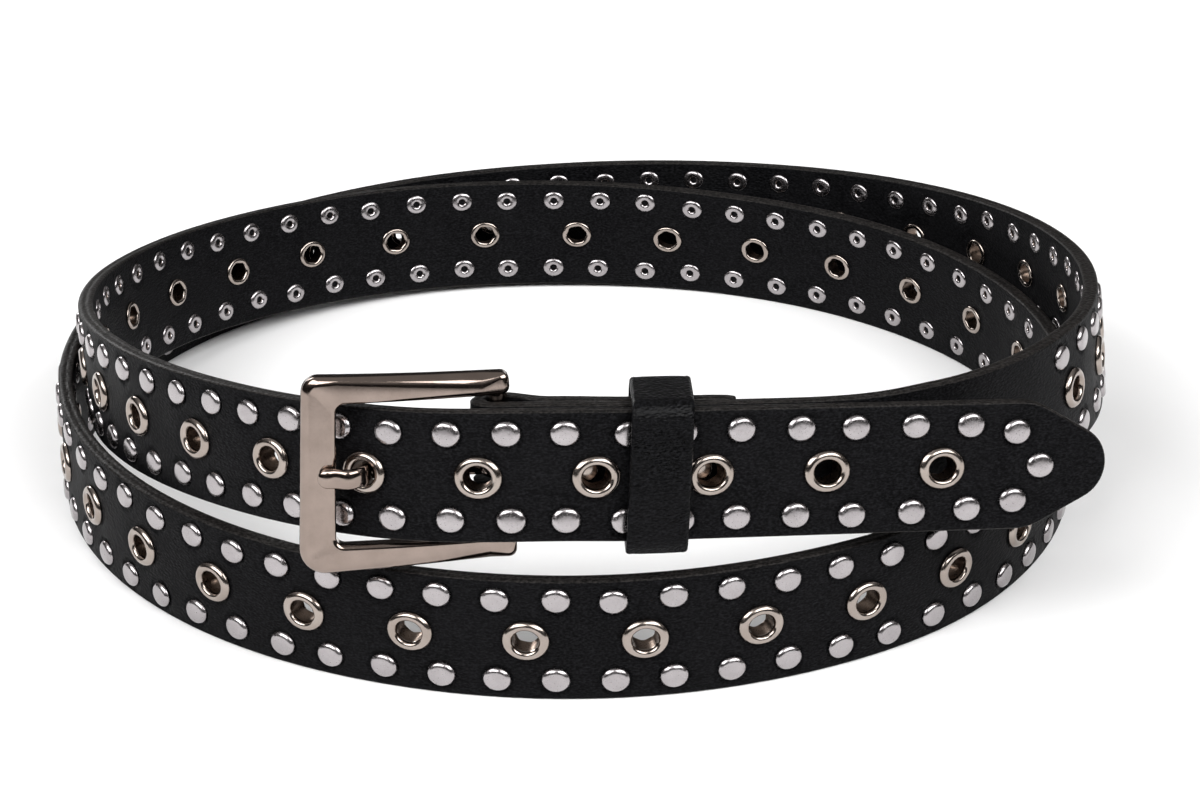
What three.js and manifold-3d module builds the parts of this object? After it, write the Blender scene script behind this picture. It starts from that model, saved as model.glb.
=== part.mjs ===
// A long studded leather belt, buckled and laid on a table in two turns.
//
// Millimetres, +Z up. The origin is on the table under the middle of the belt, the buckle faces -Y.
// The strap is drawn flat first, with its tip, eyelets and studs, and then bent along its route:
// "along" runs from the tip to the tail of the fold, "across" from the lower to the upper edge,
// and "out" from the middle of the leather towards the outer face.

import * as THREE from 'three';
import { mergeVertices } from 'three/addons/utils/BufferGeometryUtils.js';
import Module from 'manifold-3d';

const wasm = await Module();
wasm.setup();

// Strap
const STRAP_WIDTH = 22;
const STRAP_THICKNESS = 2.9;
const TIP_LENGTH = 13.2; // from the nose back to the full width
const NOSE_RADIUS = 6.5;
const PLAIN_LENGTH = 105; // at least this much without studs before the heel bar
const TAIL_PAST_RIVET = 5.8; // of the fold's tail, past its last rivet
const TAIL_SKIVE = 0.4; // thickness left at the tail's end, as a share of the strap's
const TAIL_SKIVE_LENGTH = 5;

// Studs and eyelets
const PITCH = 19.5; // from eyelet to eyelet
const TIP_TO_EYELET = 28.9;
const EYELET_SLIPS = [0.3, 0.8, 1.2, 0.8]; // of the first ones, further from the nose than the pitch says
const EYELET_PLAY = 1; // of its hole round the prong
const EYELET_RIM = 1.7; // width of its metal ring
const EYELET_CREST = 0.8; // from the hole to the ring's highest line
const EYELET_HEIGHT = 0.9;
const STUD_RADIUS = 2.35;
const STUD_HEIGHT = 1;
const STUD_ROW_INSET = 3.7; // from the strap's edge to each row
const TIP_STUD_SETBACK = 16.3; // of the last pair from the nose
const TIP_STUD_INSET = 1.4; // of the last pair from the rows, towards the middle
const NOSE_STUD_SETBACK = 11.8;
const ROUND_SIDES = 10;

// Layers
const RING_RADIUS = 94;
const FREE_END_LENGTH = 80.6; // from the nose to where the tip strap leaves the ring
const CLEARANCE = 0.3; // between pieces that touch
const STUD_ROOM = 1.7; // between the studs and the middle of the front bar's back

// Buckle
const FRAME_LENGTH = 35.4;
const FRAME_DEPTH = 3.4;
const WINDOW_SLACK = 0.9; // between the strap's edge and each side bar
const FRONT_BAR_WIDTH = 6;
const SIDE_BAR_WIDTH = 4.6; // at the front bar
const SIDE_BAR_TAPER = 0.9; // off its outer edge, towards the heel bar
const FRAME_CORNER_RADIUS = 4.2;
const WINDOW_CORNER_RADIUS = 1.5;
const BAR_END_RADIUS = 1.4;
const OUTER_BEVEL = 1.6; // at the front bar
const INNER_BEVEL = 0.6;
const HEEL_BEVEL = 1; // at the ends of the side bars
const FRAME_BOW = 0.8;
const HEEL_BAR_RADIUS = 1.5;
const HEEL_BAR_SETBACK = 1.9; // from the ends of the side bars

// Prong
const PRONG_EYELET = 5; // the eyelet that it goes through, counted from the tip
const EYELET_TO_FRONT_BAR = 6.4;
const PRONG_WIDTH = 2.6;
const PRONG_THICKNESS = 1.8;
const PRONG_SLANT = 30; // degrees between it and the eyelet's own axis
const PRONG_CRANK = 3; // from the eyelet's middle to the end of its slanted part
const PRONG_DIP_TO_EYELET = 6; // from its lowest point, behind the tip strap
const PRONG_OVERHANG = 0.3; // of its end past the middle of the front bar
const SLOT_SLACK = 0.9; // on each side of the prong and past its eye

// Keeper and fold rivets
const KEEPER_WIDTH = 10.5;
const KEEPER_WALL = 1.4;
const KEEPER_ROOM = 0.45; // inside it, round the straps
const KEEPER_CORNER_RADIUS = 2.6;
const KEEPER_INNER_RADIUS = 0.5;
const KEEPER_TO_HEEL_BAR = 26;
const FIRST_RIVET_TO_HEEL_BAR = 14.5;
const FOLD_RIVET_RADIUS = 1.4;
const FOLD_RIVET_HEAD_RADIUS = 2.6;
const FOLD_RIVET_HEAD = 0.6;

// Route of the middle of the leather, seen from above and clockwise from the front.
// turn: share of a full turn. reach: distance from the middle, as a share of the ring's radius.
// rise: height of the lower edge, as a share of the strap's width. lean: degrees outwards at the top.
const ROUTE = [
  { turn: -0.02, reach: 0.94, rise: 1.31, lean: -9 },
  { turn: 0, reach: 0.954, rise: 1.36, lean: -9 },
  { turn: 0.05, reach: 0.96, rise: 1.31, lean: -10 },
  { turn: 0.085, reach: 0.937, rise: 1.21, lean: -8 },
  { turn: 0.125, reach: 0.92, rise: 1.09, lean: -5 },
  { turn: 0.1875, reach: 0.925, rise: 0.88, lean: -1 },
  { turn: 0.25, reach: 0.957, rise: 0.62, lean: 3 },
  { turn: 0.3125, reach: 0.992, rise: 0.36, lean: 7 },
  { turn: 0.375, reach: 1.015, rise: 0.16, lean: 9 },
  { turn: 0.4375, reach: 1.01, rise: 0.05, lean: 9 },
  { turn: 0.5, reach: 0.974, rise: 0.02, lean: 5 },
  { turn: 0.5625, reach: 0.962, rise: 0, lean: 0 },
  { turn: 0.625, reach: 0.96, rise: 0, lean: 0 },
  { turn: 0.6875, reach: 0.96, rise: 0, lean: 0 },
  { turn: 0.75, reach: 0.962, rise: 0, lean: 1 },
  { turn: 0.8125, reach: 0.967, rise: 0, lean: 2 },
  { turn: 0.875, reach: 0.968, rise: 0, lean: 1 },
  { turn: 0.9375, reach: 0.954, rise: 0, lean: 0 },
  { turn: 1, reach: 0.948, rise: 0, lean: 0 },
  { turn: 1.0625, reach: 0.945, rise: 0, lean: 0 },
  { turn: 1.125, reach: 0.957, rise: 0, lean: 0 },
  { turn: 1.1875, reach: 0.98, rise: 0, lean: 0 },
  { turn: 1.25, reach: 1.012, rise: 0, lean: 0 },
  { turn: 1.3125, reach: 1.049, rise: 0, lean: 0 },
  { turn: 1.375, reach: 1.073, rise: 0, lean: 2 },
  { turn: 1.4375, reach: 1.079, rise: 0.01, lean: 4 },
  { turn: 1.5, reach: 1.075, rise: 0.05, lean: 5 },
  { turn: 1.5625, reach: 1.065, rise: 0.15, lean: 6 },
  { turn: 1.625, reach: 1.048, rise: 0.33, lean: 2 },
  { turn: 1.6875, reach: 1.022, rise: 0.56, lean: -1 },
  { turn: 1.75, reach: 1.013, rise: 0.77, lean: -4 },
  { turn: 1.8125, reach: 1.008, rise: 0.96, lean: -5 },
  { turn: 1.875, reach: 0.973, rise: 1.07, lean: -5 },
  { turn: 1.93, reach: 0.925, rise: 1.2, lean: -7 },
];
const FREE_END_TURN = ROUTE[0].turn; // before it the free end runs straight
const JOIN_START_TURN = 1.885; // from here the buckle strap swings in behind the free end
const JOIN_END_TURN = 1.945;

const HALF_WIDTH = STRAP_WIDTH / 2;
const HALF_THICKNESS = STRAP_THICKNESS / 2;
const LAYER_STEP = STRAP_THICKNESS + FOLD_RIVET_HEAD + 2 * CLEARANCE;
const TAIL_STEP = STRAP_THICKNESS + CLEARANCE;
const FOLD_RADIUS = HEEL_BAR_RADIUS + CLEARANCE + HALF_THICKNESS;
const FOLD_STEPS = 8;
const STUD_ROW_OFFSET = HALF_WIDTH - STUD_ROW_INSET;
const EYELET_HOLE_RADIUS = PRONG_WIDTH / 2 + EYELET_PLAY;
const EYELET_OUTER_RADIUS = EYELET_HOLE_RADIUS + EYELET_RIM;
const EYELET_CREST_RADIUS = EYELET_HOLE_RADIUS + EYELET_CREST;
const PRONG_EYE_RADIUS = HEEL_BAR_RADIUS + CLEARANCE + PRONG_THICKNESS / 2;
const SLOT_HALF_WIDTH = PRONG_WIDTH / 2 + SLOT_SLACK;
const SLOT_MARGIN = PRONG_EYE_RADIUS + PRONG_THICKNESS / 2 + SLOT_SLACK;
const RIVET_HOLE_RADIUS = FOLD_RIVET_RADIUS + CLEARANCE;
const RIVET_REACH = KEEPER_WIDTH / 2 + FOLD_RIVET_HEAD_RADIUS + CLEARANCE;
const RIVET_BACKS = [FIRST_RIVET_TO_HEEL_BAR, KEEPER_TO_HEEL_BAR + RIVET_REACH];
const FOLD_TAPER = RIVET_BACKS[0] - 2 * FOLD_RIVET_HEAD_RADIUS;
const TAIL_LENGTH = RIVET_BACKS[1] + TAIL_PAST_RIVET;
const SAMPLE_STEP = 0.5; // spacing of the route's samples
const TURN_STEP = SAMPLE_STEP / (2 * Math.PI * RING_RADIUS);
const UP = new THREE.Vector3(0, 0, 1);

const leather = { color: 0x17171a, roughness: 0.42, metalness: 0 };
const nickel = { color: 0xcfc7c0, roughness: 0.22, metalness: 1 };

// Route of the strap

function smoothstep(from, to, value) {
  const t = Math.min(1, Math.max(0, (value - from) / (to - from)));
  return t * t * (3 - 2 * t);
}

// A smooth curve through one column of the route table, straight on past its ends.
function routeColumn(name, turn) {
  const last = ROUTE.length - 1;
  const slope = (i) => (ROUTE[i + 1][name] - ROUTE[i][name]) / (ROUTE[i + 1].turn - ROUTE[i].turn);
  const tangent = (i) => {
    if (i === 0) return slope(0);
    if (i === last) return slope(last - 1);
    const before = ROUTE[i].turn - ROUTE[i - 1].turn;
    const after = ROUTE[i + 1].turn - ROUTE[i].turn;
    return (slope(i - 1) * after + slope(i) * before) / (before + after);
  };
  if (turn <= ROUTE[0].turn) return ROUTE[0][name] + tangent(0) * (turn - ROUTE[0].turn);
  if (turn >= ROUTE[last].turn) return ROUTE[last][name] + tangent(last) * (turn - ROUTE[last].turn);
  let i = 0;
  while (ROUTE[i + 1].turn < turn) i += 1;
  const span = ROUTE[i + 1].turn - ROUTE[i].turn;
  const u = (turn - ROUTE[i].turn) / span;
  const start = (2 * u ** 3 - 3 * u ** 2 + 1) * ROUTE[i][name];
  const end = (3 * u ** 2 - 2 * u ** 3) * ROUTE[i + 1][name];
  const leave = (u ** 3 - 2 * u ** 2 + u) * span * tangent(i);
  const arrive = (u ** 3 - u ** 2) * span * tangent(i + 1);
  return start + end + leave + arrive;
}

// Middle of the leather on the ring, from the table.
function ringPoint(turn) {
  const reach = routeColumn('reach', turn) * RING_RADIUS;
  const lean = THREE.MathUtils.degToRad(routeColumn('lean', turn));
  const angle = 2 * Math.PI * turn;
  const lowestCorner = HALF_WIDTH * Math.cos(lean) + HALF_THICKNESS * Math.abs(Math.sin(lean));
  const height = Math.max(0, routeColumn('rise', turn)) * STRAP_WIDTH + lowestCorner;
  return new THREE.Vector3(-reach * Math.sin(angle), -reach * Math.cos(angle), height);
}

// The strap's axes at a point: T along it, U across it and upwards, N out of its outer face.
function strapFrame(P, direction, leanDegrees) {
  const lean = THREE.MathUtils.degToRad(leanDegrees);
  const T = direction.clone().normalize();
  const level = new THREE.Vector3(-T.y, T.x, 0).normalize();
  const U = UP.clone().multiplyScalar(Math.cos(lean)).addScaledVector(level, Math.sin(lean));
  U.addScaledVector(T, -U.dot(T)).normalize();
  const N = new THREE.Vector3().crossVectors(U, T);
  return { P, T, U, N };
}

function ringFrame(turn) {
  const direction = ringPoint(turn + TURN_STEP).sub(ringPoint(turn - TURN_STEP));
  return strapFrame(ringPoint(turn), direction, routeColumn('lean', turn));
}

const leavingFrame = ringFrame(FREE_END_TURN + TURN_STEP);

// The tip strap in the direction of this turn: straight before FREE_END_TURN.
function tipStrapFrame(turn) {
  if (turn >= FREE_END_TURN) return ringFrame(turn);
  const { P, T } = leavingFrame;
  const x = -Math.sin(2 * Math.PI * turn);
  const y = -Math.cos(2 * Math.PI * turn);
  const distance = (P.x * y - P.y * x) / (T.x * y - T.y * x);
  return { ...leavingFrame, P: P.clone().addScaledVector(T, -distance) };
}

// The second turn follows the table, and ends right behind the tip strap.
function layerPoint(turn) {
  const share = smoothstep(JOIN_START_TURN, JOIN_END_TURN, turn);
  if (share === 0) return ringPoint(turn);
  const { P, N } = tipStrapFrame(turn - 2);
  const behind = P.clone().addScaledVector(N, -LAYER_STEP);
  return ringPoint(turn).lerp(behind, share);
}

function layerFrame(turn) {
  const share = smoothstep(JOIN_START_TURN, JOIN_END_TURN, turn);
  const behind = routeColumn('lean', Math.max(turn - 2, FREE_END_TURN));
  const lean = (1 - share) * routeColumn('lean', turn) + share * behind;
  const direction = layerPoint(turn + TURN_STEP).sub(layerPoint(turn - TURN_STEP));
  return strapFrame(layerPoint(turn), direction, lean);
}

// The samples hold the strap's axes and the distance from the nose.
function addSample(samples, frame) {
  const last = samples[samples.length - 1];
  const along = last ? last.along + frame.P.distanceTo(last.P) : 0;
  samples.push({ ...frame, along });
}

function traceTurns(lastTurn) {
  const samples = [];
  const steps = Math.ceil(FREE_END_LENGTH / SAMPLE_STEP);
  for (let i = 0; i < steps; i += 1) {
    const distance = FREE_END_LENGTH * (1 - i / steps);
    const P = leavingFrame.P.clone().addScaledVector(leavingFrame.T, -distance);
    addSample(samples, { ...leavingFrame, P });
  }
  for (let turn = FREE_END_TURN; turn < lastTurn; turn += TURN_STEP) {
    addSample(samples, { ...layerFrame(turn), turn });
  }
  addSample(samples, { ...layerFrame(lastTurn), turn: lastTurn });
  return samples;
}

function frameAt(samples, along) {
  let low = 0;
  let high = samples.length - 1;
  while (high - low > 1) {
    const middle = (low + high) >> 1;
    if (samples[middle].along <= along) low = middle;
    else high = middle;
  }
  const a = samples[low];
  const b = samples[high];
  const share = (along - a.along) / (b.along - a.along);
  const mix = (name) => a[name].clone().lerp(b[name], share);
  const turn = a.turn + (b.turn - a.turn) * share;
  return { P: mix('P'), T: mix('T').normalize(), U: mix('U').normalize(), N: mix('N').normalize(), turn };
}

// Where the buckle sits on the tip strap

const firstTurn = traceTurns(0.5);
const BAR_SPACING = FRAME_LENGTH - FRONT_BAR_WIDTH / 2 - HEEL_BAR_SETBACK;
const FRONT_BAR_LIFT = HALF_THICKNESS + STUD_HEIGHT + STUD_ROOM + FRAME_DEPTH / 2;
const prongEyeletAlong = TIP_TO_EYELET + PRONG_EYELET * PITCH;
const frontBarAlong = prongEyeletAlong + EYELET_TO_FRONT_BAR;

function heelBarCentre(along) {
  const { P, N } = frameAt(firstTurn, along);
  return P.clone().addScaledVector(N, -LAYER_STEP - FOLD_RADIUS);
}

function frontBarCentre(along) {
  const { P, N } = frameAt(firstTurn, along);
  return P.clone().addScaledVector(N, FRONT_BAR_LIFT);
}

// The heel bar lies one bar spacing back along the tip strap from the front bar.
function findHeelBarAlong() {
  const front = frontBarCentre(frontBarAlong);
  let low = frontBarAlong - 1.5 * BAR_SPACING;
  let high = frontBarAlong;
  for (let i = 0; i < 40; i += 1) {
    const middle = (low + high) / 2;
    if (heelBarCentre(middle).distanceTo(front) > BAR_SPACING) low = middle;
    else high = middle;
  }
  return (low + high) / 2;
}

const heelBarAlong = findHeelBarAlong();
const heelFrame = frameAt(firstTurn, heelBarAlong);

// Whole route: two turns, the bend round the heel bar, and the tail.
const route = traceTurns(2 + heelFrame.turn);
const foldStart = route[route.length - 1].along;
const foldLength = Math.PI * FOLD_RADIUS;
const foldEnd = foldStart + foldLength;
const strapLength = foldEnd + TAIL_LENGTH;

function traceFold() {
  const { T, U, N } = heelFrame;
  const centre = heelBarCentre(heelBarAlong);
  const steps = Math.ceil(foldLength / SAMPLE_STEP) * 2;
  for (let i = 1; i <= steps; i += 1) {
    const angle = (Math.PI * i) / steps;
    const out = N.clone().multiplyScalar(Math.cos(angle)).addScaledVector(T, Math.sin(angle));
    const forward = T.clone().multiplyScalar(Math.cos(angle)).addScaledVector(N, -Math.sin(angle));
    const P = centre.clone().addScaledVector(out, FOLD_RADIUS);
    addSample(route, { P, T: forward, U, N: out });
  }
}

function traceTail() {
  for (let back = SAMPLE_STEP; route[route.length - 1].along < strapLength; back += SAMPLE_STEP) {
    const { P, T, U, N } = frameAt(firstTurn, heelBarAlong - back);
    const closing = smoothstep(0, FOLD_TAPER, back);
    const step = 2 * FOLD_RADIUS + (TAIL_STEP - 2 * FOLD_RADIUS) * closing;
    const tailPoint = P.clone().addScaledVector(N, -LAYER_STEP - step);
    addSample(route, { P: tailPoint, T: T.clone().negate(), U, N: N.clone().negate() });
  }
}

traceFold();
traceTail();

// Flat pattern of the strap, with shared corners

const flatCorners = [];
const flatTriangles = [];
const cornerIndex = new Map();

function corner(along, across, out) {
  const key = `${along.toFixed(4)},${across.toFixed(4)},${out.toFixed(4)}`;
  if (!cornerIndex.has(key)) {
    cornerIndex.set(key, flatCorners.length);
    flatCorners.push({ along, across, out });
  }
  return cornerIndex.get(key);
}

function triangle(a, b, c) {
  if (a !== b && b !== c && c !== a) flatTriangles.push([a, b, c]);
}

// A wall along a line of points with the leather on its left, between two heights.
function wall(points, low, high) {
  for (let i = 0; i < points.length - 1; i += 1) {
    const p = points[i];
    const q = points[i + 1];
    const corners = [corner(p.x, p.y, low), corner(q.x, q.y, low), corner(q.x, q.y, high), corner(p.x, p.y, high)];
    triangle(corners[0], corners[1], corners[2]);
    triangle(corners[0], corners[2], corners[3]);
  }
}

// A band between two rings of the same centre, whose outer side is on the right of the ring's run.
function ringBand(centre, fromRadius, fromOut, toRadius, toOut) {
  const from = roundPoints(centre, fromRadius);
  const to = roundPoints(centre, toRadius);
  for (let i = 0; i < ROUND_SIDES; i += 1) {
    const j = (i + 1) % ROUND_SIDES;
    const a = corner(from[i].x, from[i].y, fromOut);
    const b = corner(from[j].x, from[j].y, fromOut);
    const c = corner(to[j].x, to[j].y, toOut);
    const d = corner(to[i].x, to[i].y, toOut);
    triangle(a, b, c);
    triangle(a, c, d);
  }
}

// Points of a round shape, anticlockwise from its top.
function roundPoints(centre, radius) {
  return Array.from({ length: ROUND_SIDES }, (_, i) => {
    const angle = Math.PI / 2 + (2 * Math.PI * i) / ROUND_SIDES;
    const x = centre.x + radius * Math.cos(angle);
    const y = centre.y + radius * Math.sin(angle);
    return new THREE.Vector2(x, y);
  });
}

// One face of a piece of the strap, given by its outline and its holes.
function faces(outline, holes, out, facesOutwards) {
  const all = [...outline, ...holes.flat()];
  for (const [i, j, k] of THREE.ShapeUtils.triangulateShape(outline.slice(), holes.map((h) => h.slice()))) {
    const [p, q, r] = [all[i], all[j], all[k]];
    const turnsLeft = (q.x - p.x) * (r.y - p.y) - (q.y - p.y) * (r.x - p.x) > 0;
    const [a, b, c] = [p, q, r].map((point) => corner(point.x, point.y, out));
    if (turnsLeft === facesOutwards) triangle(a, b, c);
    else triangle(a, c, b);
  }
}

function eyeletAlong(i) {
  return TIP_TO_EYELET + i * PITCH + (EYELET_SLIPS[i] ?? 0);
}

const eyelets = [];
const lastEyeletAlong = foldStart - PLAIN_LENGTH;
while (eyeletAlong(eyelets.length) <= lastEyeletAlong) {
  eyelets.push(new THREE.Vector2(eyeletAlong(eyelets.length), 0));
}

const studs = [
  new THREE.Vector2(NOSE_STUD_SETBACK, 0),
  new THREE.Vector2(TIP_STUD_SETBACK, STUD_ROW_OFFSET - TIP_STUD_INSET),
  new THREE.Vector2(TIP_STUD_SETBACK, TIP_STUD_INSET - STUD_ROW_OFFSET),
];
for (const eyelet of eyelets) {
  for (const share of [-0.25, 0.25]) {
    for (const row of [-STUD_ROW_OFFSET, STUD_ROW_OFFSET]) {
      studs.push(new THREE.Vector2(eyelet.x + share * PITCH, row));
    }
  }
}

// The fold rivets stand on each side of the keeper and go through the strap and its tail.
const rivetHoles = RIVET_BACKS.flatMap((back) => [
  new THREE.Vector2(alongBuckleStrap(back), 0),
  new THREE.Vector2(foldEnd + alongTail(back), 0),
]);

// Distance along the buckle strap of the point that lies this far back from the heel bar.
function alongBuckleStrap(back) {
  const target = frameAt(firstTurn, heelBarAlong - back);
  return nearestAlong(target.P, foldStart - 2 * back, foldStart);
}

function alongTail(back) {
  const target = frameAt(firstTurn, heelBarAlong - back);
  return nearestAlong(target.P, foldEnd, strapLength) - foldEnd;
}

function nearestAlong(point, from, to) {
  const near = route.filter((sample) => sample.along >= from && sample.along <= to);
  const distances = near.map((sample) => sample.P.distanceTo(point));
  const best = near[distances.indexOf(Math.min(...distances))];
  return best.along + point.clone().sub(best.P).dot(best.T);
}

const slotStart = foldStart - SLOT_MARGIN;
const slotEnd = foldEnd + SLOT_MARGIN;

// Lines across the strap where it may bend: at each eyelet, between eyelets and round the heel bar.
function bendLines() {
  const lines = [];
  for (let i = 0; eyeletAlong(i) < slotStart - PITCH / 4; i += 1) {
    lines.push(eyeletAlong(i) - PITCH / 2, eyeletAlong(i));
  }
  lines.push(slotStart);
  for (let i = 0; i <= FOLD_STEPS; i += 1) lines.push(foldStart + (foldLength * i) / FOLD_STEPS);
  lines.push(slotEnd);
  const tailSteps = 4;
  for (let i = 1; i <= tailSteps; i += 1) {
    lines.push(slotEnd + ((strapLength - slotEnd) * i) / tailSteps);
  }
  const rim = FOLD_RIVET_HEAD_RADIUS + CLEARANCE;
  const clear = lines.filter((line) => rivetHoles.every((hole) => Math.abs(line - hole.x) > rim));
  const rims = rivetHoles.flatMap((hole) => [hole.x - rim, hole.x + rim]);
  return [...clear, ...rims].sort((a, b) => a - b);
}

const lines = bendLines();

// Points of the outline on a bend line, bottom to top: the slot's end or one half of an eyelet's rim.
function pointsOnLine(along, radius, side) {
  if (along === slotStart || along === slotEnd) {
    return [new THREE.Vector2(along, -SLOT_HALF_WIDTH), new THREE.Vector2(along, SLOT_HALF_WIDTH)];
  }
  const eyelet = eyelets.find((centre) => Math.abs(centre.x - along) < CLEARANCE);
  if (!eyelet) return [];
  const rim = roundPoints(eyelet, radius);
  const half = ROUND_SIDES / 2;
  const left = rim.slice(0, half + 1).reverse();
  const right = [...rim.slice(half), rim[0]];
  return side === 'left' ? left : right;
}

// Outline of the strap between two bend lines, anticlockwise, with the rims of its eyelets cut out.
function stripOutline(from, to, radius) {
  const lowerEdge = [new THREE.Vector2(from, -HALF_WIDTH), new THREE.Vector2(to, -HALF_WIDTH)];
  const upperEdge = [new THREE.Vector2(to, HALF_WIDTH), new THREE.Vector2(from, HALF_WIDTH)];
  const ahead = pointsOnLine(to, radius, 'left');
  const behind = pointsOnLine(from, radius, 'right').reverse();
  return [...lowerEdge, ...ahead, ...upperEdge, ...behind];
}

// The nose is a round end between two straight shoulders that run into it.
function tipOutline(to) {
  const centre = NOSE_RADIUS;
  const dx = TIP_LENGTH - centre;
  const reach = Math.hypot(dx, HALF_WIDTH);
  const tangentAngle = Math.atan2(HALF_WIDTH, dx) + Math.acos(NOSE_RADIUS / reach);
  const noseSteps = 8;
  const nose = Array.from({ length: noseSteps + 1 }, (_, i) => {
    const angle = tangentAngle + ((2 * Math.PI - 2 * tangentAngle) * i) / noseSteps;
    return new THREE.Vector2(centre + NOSE_RADIUS * Math.cos(angle), NOSE_RADIUS * Math.sin(angle));
  });
  const upperEdge = [new THREE.Vector2(to, HALF_WIDTH), new THREE.Vector2(TIP_LENGTH, HALF_WIDTH)];
  const lowerEdge = [new THREE.Vector2(TIP_LENGTH, -HALF_WIDTH), new THREE.Vector2(to, -HALF_WIDTH)];
  return [...upperEdge, ...nose, ...lowerEdge];
}

function studsBetween(from, to) {
  return studs.filter((stud) => stud.x > from && stud.x < to);
}

function drawTip() {
  const outline = tipOutline(lines[0]);
  const holes = studsBetween(0, lines[0]).map((stud) => roundPoints(stud, STUD_RADIUS));
  faces(outline, holes, HALF_THICKNESS, true);
  faces(outline, [], -HALF_THICKNESS, false);
  wall(outline, -HALF_THICKNESS, HALF_THICKNESS);
}

function drawStrip(from, to) {
  const throughHoles = rivetHoles.filter((hole) => hole.x > from && hole.x < to);
  const holes = throughHoles.map((hole) => roundPoints(hole, RIVET_HOLE_RADIUS));
  const studRims = studsBetween(from, to).map((stud) => roundPoints(stud, STUD_RADIUS));
  faces(stripOutline(from, to, EYELET_OUTER_RADIUS), [...holes, ...studRims], HALF_THICKNESS, true);
  faces(stripOutline(from, to, EYELET_HOLE_RADIUS), holes, -HALF_THICKNESS, false);
  for (const hole of throughHoles) {
    ringBand(hole, RIVET_HOLE_RADIUS, HALF_THICKNESS, RIVET_HOLE_RADIUS, -HALF_THICKNESS);
  }
  drawEdges(from, to);
}

function drawEdges(from, to) {
  const lower = [new THREE.Vector2(from, -HALF_WIDTH), new THREE.Vector2(to, -HALF_WIDTH)];
  const upper = [new THREE.Vector2(to, HALF_WIDTH), new THREE.Vector2(from, HALF_WIDTH)];
  wall(lower, -HALF_THICKNESS, HALF_THICKNESS);
  wall(upper, -HALF_THICKNESS, HALF_THICKNESS);
}

// Beside the prong's slot the strap is two narrow straps.
function drawSlotStrip(from, to) {
  const half = SLOT_HALF_WIDTH;
  for (const [low, high] of [[-HALF_WIDTH, -half], [half, HALF_WIDTH]]) {
    const outline = [[from, low], [to, low], [to, high], [from, high]].map(([x, y]) => new THREE.Vector2(x, y));
    faces(outline, [], HALF_THICKNESS, true);
    faces(outline, [], -HALF_THICKNESS, false);
  }
  wall([new THREE.Vector2(to, -half), new THREE.Vector2(from, -half)], -HALF_THICKNESS, HALF_THICKNESS);
  wall([new THREE.Vector2(from, half), new THREE.Vector2(to, half)], -HALF_THICKNESS, HALF_THICKNESS);
  drawEdges(from, to);
}

function drawSlotEnds() {
  const half = SLOT_HALF_WIDTH;
  const start = [new THREE.Vector2(slotStart, -half), new THREE.Vector2(slotStart, half)];
  const end = [new THREE.Vector2(slotEnd, half), new THREE.Vector2(slotEnd, -half)];
  wall(start, -HALF_THICKNESS, HALF_THICKNESS);
  wall(end, -HALF_THICKNESS, HALF_THICKNESS);
}

function drawEyelet(centre) {
  const face = HALF_THICKNESS;
  const crest = HALF_THICKNESS + EYELET_HEIGHT;
  ringBand(centre, EYELET_OUTER_RADIUS, face, EYELET_CREST_RADIUS, crest);
  ringBand(centre, EYELET_CREST_RADIUS, crest, EYELET_HOLE_RADIUS, -HALF_THICKNESS);
}

function drawStud(centre) {
  const rim = roundPoints(centre, STUD_RADIUS);
  const top = corner(centre.x, centre.y, HALF_THICKNESS + STUD_HEIGHT);
  for (let i = 0; i < ROUND_SIDES; i += 1) {
    const j = (i + 1) % ROUND_SIDES;
    triangle(corner(rim[i].x, rim[i].y, HALF_THICKNESS), corner(rim[j].x, rim[j].y, HALF_THICKNESS), top);
  }
}

// A flat corner carried to its place on the route. The tail thins out to its end.
function bendCorner({ along, across, out }) {
  const { P, U, N } = frameAt(route, along);
  const thinning = smoothstep(strapLength - TAIL_SKIVE_LENGTH, strapLength, along);
  const thickness = 1 - (1 - TAIL_SKIVE) * thinning;
  return P.clone().addScaledVector(U, across).addScaledVector(N, out * thickness);
}

function makeStrap() {
  drawTip();
  for (let i = 0; i < lines.length - 1; i += 1) {
    const inSlot = lines[i] >= slotStart && lines[i + 1] <= slotEnd;
    if (inSlot) drawSlotStrip(lines[i], lines[i + 1]);
    else drawStrip(lines[i], lines[i + 1]);
  }
  drawSlotEnds();
  const end = [new THREE.Vector2(strapLength, -HALF_WIDTH), new THREE.Vector2(strapLength, HALF_WIDTH)];
  wall(end, -HALF_THICKNESS, HALF_THICKNESS);
  eyelets.forEach(drawEyelet);
  studs.forEach(drawStud);

  // The route's axes are left-handed in this order, so the triangles turn over.
  const geometry = new THREE.BufferGeometry();
  const positions = flatCorners.flatMap((flat) => bendCorner(flat).toArray());
  geometry.setAttribute('position', new THREE.Float32BufferAttribute(positions, 3));
  geometry.setIndex(flatTriangles.flatMap(([a, b, c]) => [a, c, b]));
  return geometry;
}

// Solids from closed meshes

function toSolid(geometry) {
  const bare = geometry.clone();
  for (const name of Object.keys(bare.attributes)) {
    if (name !== 'position') bare.deleteAttribute(name);
  }
  const merged = mergeVertices(bare, 0.0001);
  const vertProperties = new Float32Array(merged.attributes.position.array);
  const triVerts = new Uint32Array(merged.index.array);
  return new wasm.Manifold(new wasm.Mesh({ numProp: 3, vertProperties, triVerts }));
}

function toGeometry(solid) {
  const mesh = solid.getMesh();
  const geometry = new THREE.BufferGeometry();
  geometry.setAttribute('position', new THREE.Float32BufferAttribute(mesh.vertProperties, 3));
  geometry.setIndex(Array.from(mesh.triVerts));
  return geometry;
}

// Buckle frame, drawn across and forward from the heel bar towards the front bar

function arc(x, y, radius, fromDegrees, toDegrees, steps) {
  return Array.from({ length: steps + 1 }, (_, i) => {
    const angle = THREE.MathUtils.degToRad(fromDegrees + ((toDegrees - fromDegrees) * i) / steps);
    return new THREE.Vector2(x + radius * Math.cos(angle), y + radius * Math.sin(angle));
  });
}

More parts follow.
